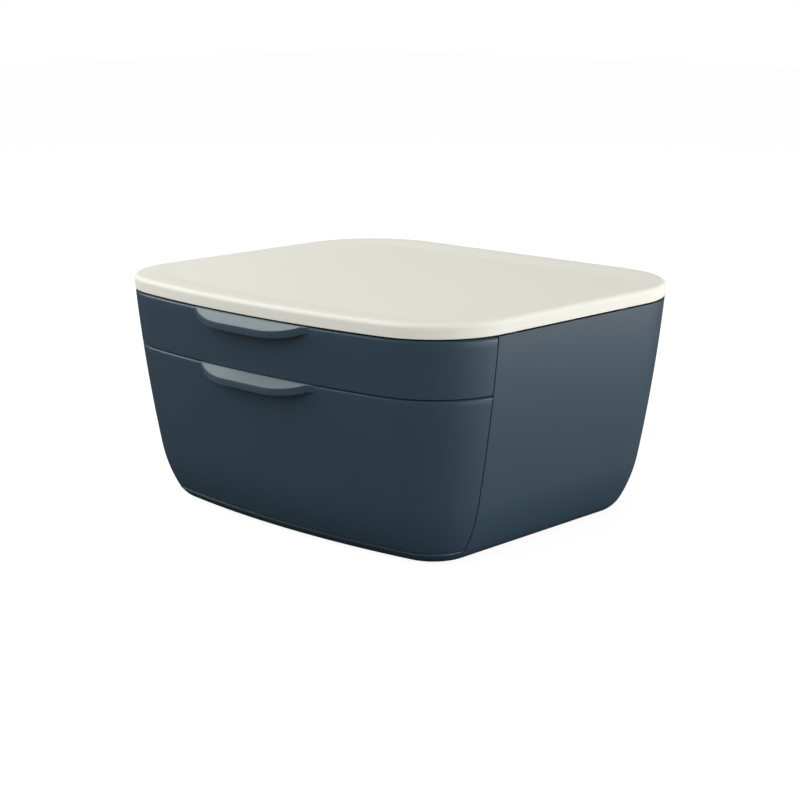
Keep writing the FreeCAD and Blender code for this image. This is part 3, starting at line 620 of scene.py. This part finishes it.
def pull_surface(top, lip, brow, hem):
    """At each x the section runs out over the top, round the brow and down the lip.

    It goes on round the hem, up into the hollow and back to the root inside the face. Where the
    lip meets the face the section shrinks into the wall.
    """
    x = (PULL_STATION - PULL_END_PLAY) * eased(PULL_STEPS)
    edge = float(wall_inset(top))
    face = float(face_y(edge, 0))
    foot = float(face_y(edge + PULL_FOOT_DEPTH, PULL_STATION))
    root = face_y(edge + PULL_ROOT_DEPTH, x)
    limit = root - PULL_LEAST
    out = np.minimum(lip_line(x, lip, foot), limit)
    hollow = np.minimum(lip_line(x, lip, foot, PULL_RIM), limit)
    inner = np.where(np.abs(x) < HOLLOW_REACH, hollow, limit)
    brow = np.minimum(brow, (root - out) * BROW_SHARE)
    hem = np.minimum(hem, (root - out) * HEM_SHARE)
    section = []

    def point(y, z):
        section.append(listed(x, y, z))

    for share in np.linspace(0, 1, 12):
        y = root + (out + brow - root) * share
        point(y, pull_top(y, face, lip, top) - PULL_DROP)
    shoulder = pull_top(out + brow, face, lip, top) - PULL_DROP
    rise = math.sin(math.radians(BROW_START))
    for turn in np.radians(np.linspace(BROW_START, 180, 7)):
        point(out + brow + brow * np.cos(turn), shoulder - brow * (rise - np.sin(turn)))
    low = pull_top(out, face, lip, top) - PULL_LIP
    for turn in np.radians(np.linspace(180, 270, 6)):
        point(out + hem + hem * np.cos(turn), low + hem + hem * np.sin(turn))
    point(np.maximum(inner - hem, out + hem), low)
    point(inner, low + hem * HOLLOW_HEM_SHARE)
    roof = pull_top(inner, face, lip, top) - PULL_SKIN
    point(inner, np.maximum(roof - HOLLOW_CORNER, low))
    for share in np.linspace(0, 1, 5):
        y = inner + (root - inner) * share
        point(y, np.maximum(pull_top(y, face, lip, top) - PULL_SKIN, low))
    points = np.stack(section, axis=1)
    rows, columns = points.shape[:2]
    cap = tuple(range(columns))
    return Surface((points.reshape(-1, 3), grid(rows, columns, round_columns=True)),
                   (points[0], [cap]), (points[-1], [cap[::-1]]))


# Cover

COVER_BOTTOM = 174.7
COVER_TOP = 185.8
COVER_FLARE = 0.7
COVER_ROUND = 3.4
COVER_CREST = 5.0
DISH_RUN = 28.0
DISH_DEPTH = 2.4
COVER_SKIN = 2.6
# the last rings of points before the middle, above and below
DISH_RINGS = (48.0, 60.0)
UNDER_RINGS = (COVER_SKIN, 20.0, 60.0)
COVER_RIB = 2.0
COVER_RIB_DEPTH = 4.0
GUIDE_X = 20.0
GUIDE_SETBACK = 24.0


def cover_surface():
    """Flared side, rolled edge and dish are one section carried round the whole outline.

    The dish falls by half a cosine wave, so it leaves the crest level and meets the flat level.
    """
    loop = whole_path()
    crest = COVER_ROUND - COVER_FLARE
    side = np.linspace((0.0, COVER_BOTTOM), (-COVER_FLARE, COVER_TOP - COVER_ROUND), 5)
    turn = np.radians(np.linspace(180, 90, 12))[:, None]
    centre = crest, COVER_TOP - COVER_ROUND
    roll = centre + COVER_ROUND * np.hstack([np.cos(turn), np.sin(turn)])
    fall = np.linspace(0, 1, 25)
    dish = np.column_stack([
        crest + COVER_CREST + DISH_RUN * fall,
        COVER_TOP - DISH_DEPTH * (1 - np.cos(HALF_TURN * fall)) / 2])
    inner = [(ring, dish[-1, 1]) for ring in DISH_RINGS]
    section = np.vstack([side, roll[1:], dish, inner])
    under = COVER_TOP - DISH_DEPTH - COVER_SKIN
    halfway = (COVER_BOTTOM + under) / 2
    skin = [(0.0, COVER_BOTTOM), (COVER_SKIN, COVER_BOTTOM), (COVER_SKIN, halfway)]
    skin += [(ring, under) for ring in UNDER_RINGS]
    made = Surface(dished_plate(loop, section), dished_plate(loop, skin))
    cover_fittings(made, under)
    return made


def cover_fittings(made, under):
    """Ribs underneath, the upper drawer's stop, two ribs that keep it level, and screw bosses."""
    root = under + COVER_SKIN / 2
    for y in (FRONT_CENTRE[1], (FRONT_CENTRE[1] + REAR_CENTRE[1]) / 2, REAR_CENTRE[1]):
        for x in both_ways((2 * TONGUE_HALF, HALF_WIDTH - DISH_RUN)):
            made.add(*rib(x, around(y, COVER_RIB), root, under - COVER_RIB_DEPTH))
    low = TRAYS["upper"]["tongue"] + TIP_PLAY
    stop = stop_y("upper")
    made.add(*rib((-TONGUE_HALF, TONGUE_HALF), (stop - STOP_RIB, stop), root, low - STOP_DROP))
    for x in both_ways(around(GUIDE_X, COVER_RIB)):
        made.add(*rib(x, (stop - STOP_RIB / 2, REAR_Y - GUIDE_SETBACK), root, low))
    for x in (TAB_X, -TAB_X):
        for y in TAB_Y:
            made.add(*placed(tube(BOSS_RADIUS, PILOT_RADIUS, TAB_TOP, root), (x, y, 0)))


# Trays, shelf and rails

TRAY_INSET = 5.3
TRAY_WALL = 2.2
TRAY_FLOOR = 2.2
TRAY_LAP = 1.3
TRAY_LAP_HEIGHT = 2.5
# reach of the bends under, inside and at the rim
TRAY_HEEL = 3.0
TRAY_FOOT = 6.0
TRAY_ROUND = 0.8
TRAY_RING = 12.0
LAP_BREAK = 0.25
CHANNEL_DRAFT = 0.15
INNER_EDGE = 0.35
# planes where a front's boss meets its tray's, and where the screw's head sits: how deep in the
# wall, and how far past that
BOSS_SEAT = (TRAY_INSET, -0.8)
BOSS_BACK = (TRAY_INSET + TRAY_WALL, 1.0)
TRAYS = {
    "upper": {"bottom": 132.3, "rim": 165.0, "tongue": 171.0, "bosses": (150.0,)},
    "lower": {"bottom": 12.0, "rim": 118.0, "tongue": 125.8, "bosses": (98.0, 52.0)},
}
TONGUE_HALF = 30.0
TONGUE_ROOT = 15.0
TONGUE_THICKNESS = 2.5
TIP_PLAY = 0.7
STOP_PLAY = 0.5
STOP_RIB = 3.0
STOP_DROP = 4.5
TRAVEL = 200.0


def boss_y(height, depth, past):
    """Y of a boss's end at a height."""
    return float(face_y(wall_inset(height) + depth, BOSS_X)) + past


def add_bosses(made, heights, bore, near, far):
    """A screw boss on each side at every height, between two of the boss planes."""
    for z in heights:
        for x in (BOSS_X, -BOSS_X):
            boss = tube(BOSS_RADIUS, bore, boss_y(z, *near), boss_y(z, *far))
            made.add(*placed(boss, (x, 0, z), "back"))


def tongue_y(drawer):
    """Front of the tongue that stands up from a tray's back wall."""
    root = wall_inset(TRAYS[drawer]["rim"] - TONGUE_ROOT) + TRAY_INSET + TRAY_WALL / 2
    return REAR_Y - float(root) - TONGUE_THICKNESS


def stop_y(drawer):
    """Face of the rib that the tongue meets when its drawer is pulled out."""
    return tongue_y(drawer) - TRAVEL - STOP_PLAY


def tray_surface(drawer):
    """A basin in one section: round the heel, up the wall, over the lapped rim and down inside."""
    at = TRAYS[drawer]
    bottom, rim, floor = at["bottom"], at["rim"], at["bottom"] + TRAY_FLOOR
    lap = rim - TRAY_LAP_HEIGHT

    def outside(z):
        return np.column_stack([wall_inset(z) + TRAY_INSET, z])

    def inside(z):
        return outside(z) + (TRAY_WALL, 0)

    heel_top, heel = outside(np.array([bottom + TRAY_HEEL, bottom]))
    foot_top, foot = inside(np.array([floor + TRAY_FOOT, floor]))
    brim = rim - TRAY_ROUND
    brim_inside, rim_inside = inside(np.array([brim, rim]))
    lap_edge = float(wall_inset(lap)) + TRAY_INSET - TRAY_LAP
    section = np.vstack([
        [(heel[0] + TRAY_RING, bottom)],
        bend(heel + (TRAY_HEEL, 0.0), heel, heel_top, 7),
        outside(wall_levels(bottom + TRAY_HEEL, lap))[1:],
        [(lap_edge + LAP_BREAK, lap), (lap_edge, lap + LAP_BREAK), (lap_edge, brim)],
        bend((lap_edge, brim), (lap_edge, rim), (lap_edge + TRAY_ROUND, rim), 5)[1:],
        bend(rim_inside - (TRAY_ROUND, 0.0), rim_inside, brim_inside, 5),
        inside(wall_levels(floor + TRAY_FOOT, brim))[::-1][1:],
        bend(foot_top, foot, foot + (TRAY_FOOT, 0.0), 9)[1:],
        [(foot[0] + TRAY_RING, floor)]])
    made = Surface(dished_plate(whole_path(), section, ends=(0, -1)))
    half = RAIL_WIDTH / 2 + CHANNEL_PLAY
    root, tip = bottom + TRAY_FLOOR / 2, bottom - CHANNEL_DEPTH
    for near in (RAIL_X + half, RAIL_X - half - CHANNEL_RIB):
        for x in both_ways((near, near + CHANNEL_RIB)):
            made.add(*rib(x, RAIL_Y, root, tip, CHANNEL_DRAFT))
    y = tongue_y(drawer)
    across = -TONGUE_HALF, TONGUE_HALF
    made.add(*rib(across, (y, y + TONGUE_THICKNESS), rim - TONGUE_ROOT, at["tongue"]))
    add_bosses(made, at["bosses"], CLEAR_RADIUS, BOSS_SEAT, BOSS_BACK)
    return made


SHELF_ROUND = 0.8
SHELF_RING = 30.0


def shelf_surface():
    """A flat plate in the outline's shape with rounded edges, and the lower drawer's stop."""
    edge, inside = SHELF_INSET, SHELF_INSET + SHELF_ROUND
    ring = SHELF_INSET + SHELF_RING
    section = np.vstack([
        [(ring, SHELF_BOTTOM)],
        bend((inside, SHELF_BOTTOM), (edge, SHELF_BOTTOM),
             (edge, SHELF_BOTTOM + SHELF_ROUND), 5),
        bend((edge, SHELF_TOP - SHELF_ROUND), (edge, SHELF_TOP), (inside, SHELF_TOP), 5),
        [(ring, SHELF_TOP)]])
    made = Surface(dished_plate(whole_path(), section, ends=(0, -1)))
    stop = stop_y("lower")
    made.add(*rib((-TONGUE_HALF, TONGUE_HALF), (stop - STOP_RIB, stop),
                  (SHELF_BOTTOM + SHELF_TOP) / 2, SHELF_BOTTOM - STOP_DROP))
    return made


# the broken lower corner, and how far the crown falls and how far in it reaches
RAIL_BREAK = 0.3
RAIL_CROWN_FALL = 0.9
RAIL_CROWN_REACH = 1.2
# the innermost rings of points, below and above
RAIL_RINGS = (2.0, 1.5)
RAIL_STEPS = 48
PEG_SETBACK = 16.0
PEG_WIDTH = 3.6
PEG_ROOT = 1.0
PEG_LENGTH = 2.2


def rail_surface(x, seat):
    """A strip with round ends and a crowned top, and two square pegs under it.

    Its plan is half circles joined by straight sides, drawn in towards the top.
    """
    half = RAIL_WIDTH / 2
    ends = np.array([RAIL_Y[0] + half, RAIL_Y[1] - half])
    turn = (ways_round(RAIL_STEPS) + HALF_TURN / RAIL_STEPS)[:, None]
    middle = np.where(np.sin(turn) > 0, ends[1], ends[0])
    top = RAIL_THICKNESS
    section = np.vstack([
        [(RAIL_RINGS[0], 0.0), (half - RAIL_BREAK, 0.0), (half, RAIL_BREAK)],
        bend((half, top - RAIL_CROWN_FALL), (half, top), (half - RAIL_CROWN_REACH, top), 6),
        [(RAIL_RINGS[1], top)]])
    reach, height = section.T
    points = listed(x + np.cos(turn) * reach, middle + np.sin(turn) * reach, seat + height)
    poles = [(x, ends.mean(), seat), (x, ends.mean(), seat + top)]
    made = Surface(closed(points, len(height), poles))
    for y in (RAIL_Y[0] + PEG_SETBACK, RAIL_Y[1] - PEG_SETBACK):
        made.add(*rib(around(x, PEG_WIDTH), around(y, PEG_WIDTH), seat + PEG_ROOT,
                      seat - PEG_LENGTH))
    return made


# Feet, bumpers and screws

FOOT_RADIUS = 9.0
FOOT_HEIGHT = 2.7
FOOT_OFFSET = 8.0
FOOT_STEPS = 64
# radius and height from the cup in the sole outwards and up to the seat
FOOT_PROFILE = (
    (0.6, 0.35), (3.4, 0.35), (3.9, 0.0), (5.2, 0.0), (5.5, 0.45), (6.3, 0.45), (6.6, 0.0),
    (8.1, 0.0), (8.6, 0.12), (8.9, 0.42), (FOOT_RADIUS, 0.9), (FOOT_RADIUS, FOOT_HEIGHT),
    (4.0, FOOT_HEIGHT))
BUMPER_WIDTH = 14.0
BUMPER_HEIGHT = 12.0
BUMPER_GAP = 0.3
BUMPER_X = 65.0
BUMPER_DROP = 16.5
BUMPER_POWER = 8
BUMPER_STEPS = 21
SCREW_HEAD = 2.8
SCREW_HEAD_HEIGHT = 1.6
SCREW_CORE = 1.05
SCREW_SHANK = 1.45
SCREW_LENGTH = 6.5
# the cone that cuts the head: largest radii, and shares of the head's height
HEAD_LIMITS = (0.8, 2.3, SCREW_HEAD, SCREW_HEAD, 2.5, SCREW_CORE)
HEAD_SHARES = (1.0, 1.0, 0.8, 0.15, 0.0, 0.0)
SCREW_STEPS = 48
SHANK_ROWS = 50
SHANK_START = 0.2
TIP_RADIUS = 0.2
TIP_LENGTH = 0.5
THREAD_FADE = 1.5


def foot_surface(x, y):
    """A turned pad: a cup and a ring groove in the sole, a rounded edge, and a plain seat."""
    radius, height = np.array(FOOT_PROFILE).T
    return Surface(placed(turned_solid(radius, height, FOOT_STEPS), (x, y, 0)))


def bumper_surface(x, height):
    """A pad on the back wall, whose thickness falls away at the edges by an eighth power."""
    u, v = np.meshgrid(eased(BUMPER_STEPS), eased(BUMPER_STEPS), indexing="ij")
    swell = ((1 - u ** BUMPER_POWER) * (1 - v ** BUMPER_POWER)) ** (1 / BUMPER_POWER)
    z = height + v * BUMPER_HEIGHT / 2
    wall = REAR_Y - wall_inset(z) - HOUSING_WALL
    thick = TRAY_INSET - HOUSING_WALL - BUMPER_GAP
    across = x + u * BUMPER_WIDTH / 2
    made = Surface()
    for y in (wall, wall - swell * thick):
        made.add(listed(across, y, z), grid(*u.shape))
    return made


def screw_sheet(pitch):
    """A screw seated at height 0, its radius given for each height and way round.

    The head's is a hexagon's, cut by a cone at both ends. The shank's is its core, raised to a
    ridge that climbs by one pitch in each turn and fades out towards the tip.
    """
    turn = ways_round(SCREW_STEPS)[:, None]
    sector = HALF_TURN / 3
    hexagon = SCREW_HEAD * math.cos(sector / 2) / np.cos(turn % sector - sector / 2)
    levels = np.array(HEAD_SHARES) * SCREW_HEAD_HEIGHT
    down = np.linspace(-SHANK_START, -SCREW_LENGTH + TIP_LENGTH, SHANK_ROWS)
    ridge = np.clip(1 - 4 * np.abs((down / pitch - turn / (2 * HALF_TURN)) % 1 - 0.5), 0, 1)
    fade = np.clip((down + SCREW_LENGTH) / THREAD_FADE, 0, 1)
    shank = SCREW_CORE * np.minimum(1, 0.5 + fade) + (SCREW_SHANK - SCREW_CORE) * ridge * fade
    tip = np.full((SCREW_STEPS, 1), TIP_RADIUS)
    radius = np.hstack([np.minimum(hexagon, HEAD_LIMITS), shank, tip])
    return turned_solid(radius, np.concatenate([levels, down, [-SCREW_LENGTH]]), SCREW_STEPS)


def screws(pitch, places, facing):
    """A screw at each place and at its mirror image."""
    return Surface(*(placed(screw_sheet(pitch), (side * x, y, z), facing)
                     for x, y, z in places for side in (1, -1)))


# Materials

# depths in millimetres
GRAIN_DEPTH = 0.012
RUBBER_DEPTH = 0.05
# pattern scales, in repeats to the metre
FLOW_SCALE = 14.0
DUST_SCALE = 220.0
SPECK_SCALE = 900.0
# the normal's upward part where the painted sheen begins, and where it covers
SHEEN_FROM = 0.62
SHEEN_FULL = 0.82
# how far the grain lowers and raises the roughness
GRAIN_BELOW = 0.03
GRAIN_ABOVE = 0.05


def add(tree, kind, settings=None, **inputs):
    """A shader node. An input is a value, or (node, output) to link. One like _6 goes by place."""
    made = tree.nodes.new("ShaderNode" + kind)
    for key, value in (settings or {}).items():
        setattr(made, key, value)
    for key, value in inputs.items():
        socket = made.inputs[int(key[1:])] if key[0] == "_" else made.inputs[key.replace("_", " ")]
        if isinstance(value, tuple) and isinstance(value[0], bpy.types.Node):
            tree.links.new(value[0].outputs[value[1]], socket)
        else:
            socket.default_value = value
    return made


def new_material(name, tone):
    made = bpy.data.materials.new(name)
    made.use_nodes = True
    made.diffuse_color = rgba(tone)
    made.node_tree.nodes.clear()
    return made, made.node_tree


def rgba(tone):
    return (*tone, 1.0)


def noise(tree, scale, **more):
    """Noise in the object's own coordinates."""
    place = add(tree, "TexCoord")
    return add(tree, "TexNoise", Vector=(place, "Object"), Scale=scale, **more)


def spread(tree, source, low, high):
    """A noise's value spread between two limits."""
    return add(tree, "MapRange", Value=(source, "Fac"), To_Min=low, To_Max=high)


def surfaced(tree, **inputs):
    """The shader, and the output that it feeds."""
    shader = add(tree, "BsdfPrincipled", **inputs)
    add(tree, "OutputMaterial", Surface=(shader, 0))


def moulded_plastic(name, tone, grain, roughness, ior=1.54, tint=0.94, painted_sheen=None):
    """Moulded plastic: a fine grain scatters the gloss, and flow shows as soft changes of tone.

    The real grain is near 0.1 mm. It is drawn coarser, so that a pixel can hold it. A paler colour
    is painted on faces that look up: painted sheen, for the light that falls on them.
    """
    made, tree = new_material(name, tone)
    flow = noise(tree, FLOW_SCALE, Detail=2.0, Roughness=0.5)
    pale, deep = rgba(tone), rgba(tuple(c * tint for c in tone))
    blend = {"data_type": "RGBA"}
    paint = add(tree, "Mix", blend, Factor=(flow, "Fac"), _6=deep, _7=pale), 2
    # painted sheen: faces that look up take the paler colour, for the light that falls on them
    if painted_sheen:
        way = add(tree, "SeparateXYZ", Vector=(add(tree, "TexCoord"), "Normal"))
        sheen_mask = add(tree, "MapRange", {"interpolation_type": "SMOOTHSTEP"},
                     Value=(way, "Z"), From_Min=SHEEN_FROM, From_Max=SHEEN_FULL)
        paint = add(tree, "Mix", blend, Factor=(sheen_mask, 0), _6=paint, _7=rgba(painted_sheen)), 2
    fine = noise(tree, 1 / grain, Detail=2.0, Roughness=0.6)
    gloss = spread(tree, fine, roughness - GRAIN_BELOW, roughness + GRAIN_ABOVE)
    bump = add(tree, "Bump", Height=(fine, "Fac"), Strength=0.25, Distance=GRAIN_DEPTH * MM)
    surfaced(tree, Base_Color=paint, Roughness=(gloss, 0), IOR=ior, Normal=(bump, 0))
    return made


def rubber(name, tone):
    """Moulded rubber: a matt skin, dulled by dust in patches near 5 mm."""
    made, tree = new_material(name, tone)
    dust = noise(tree, DUST_SCALE, Detail=4.0)
    gloss = spread(tree, dust, 0.68, 0.86)
    bump = add(tree, "Bump", Height=(dust, "Fac"), Strength=0.3, Distance=RUBBER_DEPTH * MM)
    surfaced(tree, Base_Color=rgba(tone), Roughness=(gloss, 0), IOR=1.5, Normal=(bump, 0))
    return made


def zinc_plate(name, tone):
    """Bright zinc over rolled steel: a metal whose gloss is broken by specks near 1 mm apart."""
    made, tree = new_material(name, tone)
    specks = noise(tree, SPECK_SCALE, Detail=2.0)
    gloss = spread(tree, specks, 0.22, 0.42)
    surfaced(tree, Base_Color=rgba(tone), Metallic=1.0, Roughness=(gloss, 0))
    return made


def finish(which):
    """The material of a finish, made once and then shared."""
    if which in bpy.data.materials:
        return bpy.data.materials[which]
    tones = bpy.context.scene.file_box_colours
    if which == "black_rubber":
        return rubber(which, tones.rubber)
    if which == "zinc_plated_steel":
        return zinc_plate(which, tones.zinc)
    tone, roughness, more = {
        "slate_moulded_abs": (tones.body, 0.4, {}),
        # the pulls' finish carries the painted sheen on their upper sides
        "slate_pull_painted_sheen": (tones.body, 0.6, {"painted_sheen": tones.pull}),
        "cream_moulded_abs": (tones.cover, 0.72, {"tint": 0.985}),
        "dark_tray_polypropylene": (tones.tray, 0.46, {"ior": 1.49}),
        "natural_acetal": (tones.rail, 0.28, {"ior": 1.48, "tint": 0.98}),
    }[which]
    grain = bpy.context.scene.file_box_sizes.grain
    return moulded_plastic(which, tone, grain, roughness, **more)


# Operators

class FileBoxOperator(bpy.types.Operator):
    bl_options = {"REGISTER", "UNDO"}


class FILEBOX_OT_housing(FileBoxOperator):
    """Add the body: wall, floor and the low band under the drawers"""
    bl_idname = "filebox.housing"
    bl_label = "Housing"

    def execute(self, context):
        sizes = context.scene.file_box_sizes
        piece("housing_shell", housing_surface(sizes.top_edge / MM), "cabinet",
              finish("slate_moulded_abs"), ["housing"], sizes.moulded_edge)
        return {"FINISHED"}


class FILEBOX_OT_cover(FileBoxOperator):
    """Add the dished cover"""
    bl_idname = "filebox.cover"
    bl_label = "Cover"

    def execute(self, context):
        hem = context.scene.file_box_sizes.cover_hem
        piece("cover_shell", cover_surface(), "cabinet",
              finish("cream_moulded_abs"), ["top_cover"], hem)
        return {"FINISHED"}


class FILEBOX_OT_fronts(FileBoxOperator):
    """Add both drawer fronts with their pulls"""
    bl_idname = "filebox.fronts"
    bl_label = "Drawer Fronts"

    def execute(self, context):
        sizes = context.scene.file_box_sizes
        for drawer, at in FRONTS.items():
            body = drawer + "_drawer"
            bosses = TRAYS[drawer]["bosses"]
            shell = front_surface(at["bottom"], at["top"], bosses, sizes.top_edge / MM)
            piece(drawer + "_front_shell", shell, body,
                  finish("slate_moulded_abs"), [drawer + "_front"], sizes.moulded_edge)
            pull = pull_surface(at["top"], at["lip"], sizes.pull_brow / MM, sizes.pull_hem / MM)
            piece(drawer + "_pull", pull, body, finish("slate_pull_painted_sheen"))
        return {"FINISHED"}


class FILEBOX_OT_drawers(FileBoxOperator):
    """Add the trays, the shelf between them and the rails they run on"""
    bl_idname = "filebox.drawers"
    bl_label = "Trays, Shelf and Rails"

    def execute(self, context):
        edge = INNER_EDGE * MM
        dark = finish("dark_tray_polypropylene")
        for drawer in TRAYS:
            piece(drawer + "_tray_basin", tray_surface(drawer), drawer + "_drawer",
                  dark, [drawer + "_tray"], edge)
        piece("shelf_plate", shelf_surface(), "cabinet", dark, ["shelf"], edge)
        for drawer, seat in (("upper", SHELF_TOP), ("lower", LOWER_RAIL_SEAT)):
            for side, sign in SIDES:
                name = f"{drawer}_{side}_rail"
                piece(name + "_strip", rail_surface(sign * RAIL_X, seat), "cabinet",
                      finish("natural_acetal"), [name])
        return {"FINISHED"}


class FILEBOX_OT_fittings(FileBoxOperator):
    """Add the rubber feet and bumpers and every screw"""
    bl_idname = "filebox.fittings"
    bl_label = "Feet, Bumpers and Screws"

    def execute(self, context):
        rubber_finish, zinc = finish("black_rubber"), finish("zinc_plated_steel")
        x = FRONT_CENTRE[0] - FOOT_OFFSET
        for end, y in (("front", FRONT_CENTRE[1] + FOOT_OFFSET), ("rear", REAR_CENTRE[1])):
            for side, sign in SIDES:
                name = f"foot_{end}_{side}"
                piece(name + "_pad", foot_surface(sign * x, y), "cabinet",
                      rubber_finish, [name])
        for drawer, at in TRAYS.items():
            for side, sign in SIDES:
                name = f"{drawer}_{side}_bumper"
                pad = bumper_surface(sign * BUMPER_X, at["rim"] - BUMPER_DROP)
                piece(name + "_pad", pad, "cabinet", rubber_finish, [name])
        pitch = context.scene.file_box_sizes.thread_pitch / MM
        upper, lower = ([(BOSS_X, boss_y(z, *BOSS_BACK), z) for z in at["bosses"]]
                        for at in TRAYS.values())
        shelf = [(SHELF_SCREW_X, y, SHELF_TOP) for y in LEDGE_Y]
        cover = [(TAB_X, y, TAB_TOP - TAB_THICKNESS) for y in TAB_Y]
        for name, body, places, facing in (
                ("upper_front_screws", "upper_drawer", upper, "back"),
                ("lower_front_screws", "lower_drawer", lower, "back"),
                ("shelf_screws", "cabinet", shelf, "up"),
                ("cover_screws", "cabinet", cover, "down")):
            piece(name + "_threaded", screws(pitch, places, facing), body,
                  zinc, [name])
        return {"FINISHED"}


# Stage, in metres

# the camera: degrees round from the front and up, distance, aim and lens
CAMERA_TURN = 43.502
CAMERA_RISE = 13.058
CAMERA_DISTANCE = 1.5254
CAMERA_AIM = (0.00044, 0.00981, 0.08286)
CAMERA_LENS = 84.357
CAMERA_SENSOR = 36.0
FLOOR_HALF = 6.0
# what the camera sees of the floor, and what it throws on the box and into its gloss
FLOOR_GLOW = 0.90
FLOOR_SHADE = 0.16
FLOOR_BOUNCE = 0.32
FLOOR_IN_GLOSS = 0.04
ROOM_LIGHT = 0.51
WHITE = (1.0, 1.0, 1.0, 1.0)
LAMP_DISTANCE = 2.2
LAMP_AIM = 0.1
# each softbox: degrees round from the front towards the right, degrees up, size, watts, and
# whether gloss mirrors it
LAMPS = (
    ("right_strip", 90.0, 2.0, 0.6, 9.0, True),
    ("right_rear_strip", 112.5, 2.0, 0.6, 11.0, True),
    ("rear_right_strip", 135.0, 2.0, 0.6, 29.0, True),
    ("rear_strip", 157.5, 2.0, 0.6, 11.0, True),
    ("rear_left_softbox", 202.5, 18.0, 0.9, 3.0, True),
    ("left_softbox", 270.0, 48.0, 1.2, 4.0, True),
    ("front_left_softbox", 292.5, 46.0, 1.0, 17.0, True),
    ("front_left_low_softbox", 292.5, 18.0, 0.9, 10.0, True),
    ("front_left_fill", 315.0, 30.0, 1.2, 8.0, False),
    ("front_fill", 0.0, 30.0, 1.2, 13.5, False),
    ("front_right_fill", 60.0, 30.0, 1.2, 10.0, False),
)


def chosen(tree, ray, others, this):
    """One shader for the named kind of ray, and another for all others."""
    return add(tree, "MixShader", _0=ray, _1=(others, 0), _2=(this, 0))


def aim(made, turn, rise, distance, target):
    """Puts a camera or lamp round and above its target, in degrees, and turns it to look there."""
    turn, rise = math.radians(turn), math.radians(rise)
    level = math.cos(rise)
    way = np.array([math.sin(turn) * level, -math.cos(turn) * level, math.sin(rise)])
    made.location = target + way * distance
    made.rotation_euler = (HALF_TURN / 2 - rise, 0.0, turn)


class FILEBOX_OT_stage(FileBoxOperator):
    """Add floor, studio lights and the camera"""
    bl_idname = "filebox.stage"
    bl_label = "Stage"

    def execute(self, context):
        scene = context.scene
        scene.view_settings.view_transform = "Standard"
        self.floor(context)
        self.lights(context)
        camera = bpy.data.cameras.new("camera")
        camera.lens = CAMERA_LENS
        camera.sensor_width = CAMERA_SENSOR
        made = linked("camera", camera)
        aim(made, CAMERA_TURN, CAMERA_RISE, CAMERA_DISTANCE, CAMERA_AIM)
        scene.camera = made
        return {"FINISHED"}

    def floor(self, context):
        """A sheet that the camera sees as near white, a little darker in the box's shadow."""
        made, tree = new_material("pale_studio_floor", (0.8, 0.8, 0.8))
        sight = add(tree, "LightPath")
        bounce, dim, shade = (add(tree, "BsdfDiffuse", Color=rgba((grey,) * 3))
                              for grey in (FLOOR_BOUNCE, FLOOR_IN_GLOSS, FLOOR_SHADE))
        glow = add(tree, "Emission", Color=WHITE, Strength=FLOOR_GLOW)
        seen = add(tree, "AddShader", _0=(glow, 0), _1=(shade, 0))
        felt = chosen(tree, (sight, "Is Glossy Ray"), bounce, dim)
        mixed = chosen(tree, (sight, "Is Camera Ray"), felt, seen)
        add(tree, "OutputMaterial", Surface=(mixed, 0))
        mesh = bpy.data.meshes.new("floor")
        low, high = -FLOOR_HALF, FLOOR_HALF
        corners = [(low, low, 0), (high, low, 0), (high, high, 0), (low, high, 0)]
        mesh.from_pydata(corners, [], [(0, 1, 2, 3)])
        mesh.materials.append(made)
        linked("floor", mesh)

    def lights(self, context):
        world = bpy.data.worlds.new("studio")
        context.scene.world = world
        world.use_nodes = True
        world.cycles_visibility.glossy = False
        tree = world.node_tree
        tree.nodes.clear()
        sight = add(tree, "LightPath")
        seen = add(tree, "Background", Color=WHITE, Strength=1.0)
        lit = add(tree, "Background", Color=WHITE, Strength=ROOM_LIGHT)
        mixed = chosen(tree, (sight, "Is Camera Ray"), lit, seen)
        add(tree, "OutputWorld", Surface=(mixed, 0))
        for name, turn, rise, size, power, glossy in LAMPS:
            lamp = bpy.data.lights.new(name, "AREA")
            lamp.size = size
            lamp.energy = power
            made = linked(name, lamp)
            aim(made, turn, rise, LAMP_DISTANCE, (0.0, 0.0, LAMP_AIM))
            made.visible_glossy = glossy


STEPS = (FILEBOX_OT_housing, FILEBOX_OT_cover, FILEBOX_OT_fronts, FILEBOX_OT_drawers,
         FILEBOX_OT_fittings, FILEBOX_OT_stage)


class FILEBOX_PT_panel(bpy.types.Panel):
    bl_label = "File Box"
    bl_idname = "FILEBOX_PT_panel"
    bl_space_type = "VIEW_3D"
    bl_region_type = "UI"
    bl_category = "File Box"

    def draw(self, context):
        layout = self.layout
        for group in (context.scene.file_box_sizes, context.scene.file_box_colours):
            column = layout.column(align=True)
            for name in group.bl_rna.properties.keys():
                if name not in ("rna_type", "name"):
                    column.prop(group, name)
        for step in STEPS:
            layout.operator(step.bl_idname)


CLASSES = (FileBoxSizes, FileBoxColours, *STEPS, FILEBOX_PT_panel)


def register():
    for cls in CLASSES:
        bpy.utils.register_class(cls)
    bpy.types.Scene.file_box_sizes = bpy.props.PointerProperty(type=FileBoxSizes)
    bpy.types.Scene.file_box_colours = bpy.props.PointerProperty(type=FileBoxColours)


def unregister():
    del bpy.types.Scene.file_box_colours
    del bpy.types.Scene.file_box_sizes
    for cls in reversed(CLASSES):
        bpy.utils.unregister_class(cls)


def main():
    register()
    for step in STEPS:
        group, name = step.bl_idname.split(".")
        getattr(getattr(bpy.ops, group), name)()
    bpy.context.view_layer.update()


if __name__ == "__main__":
    main()
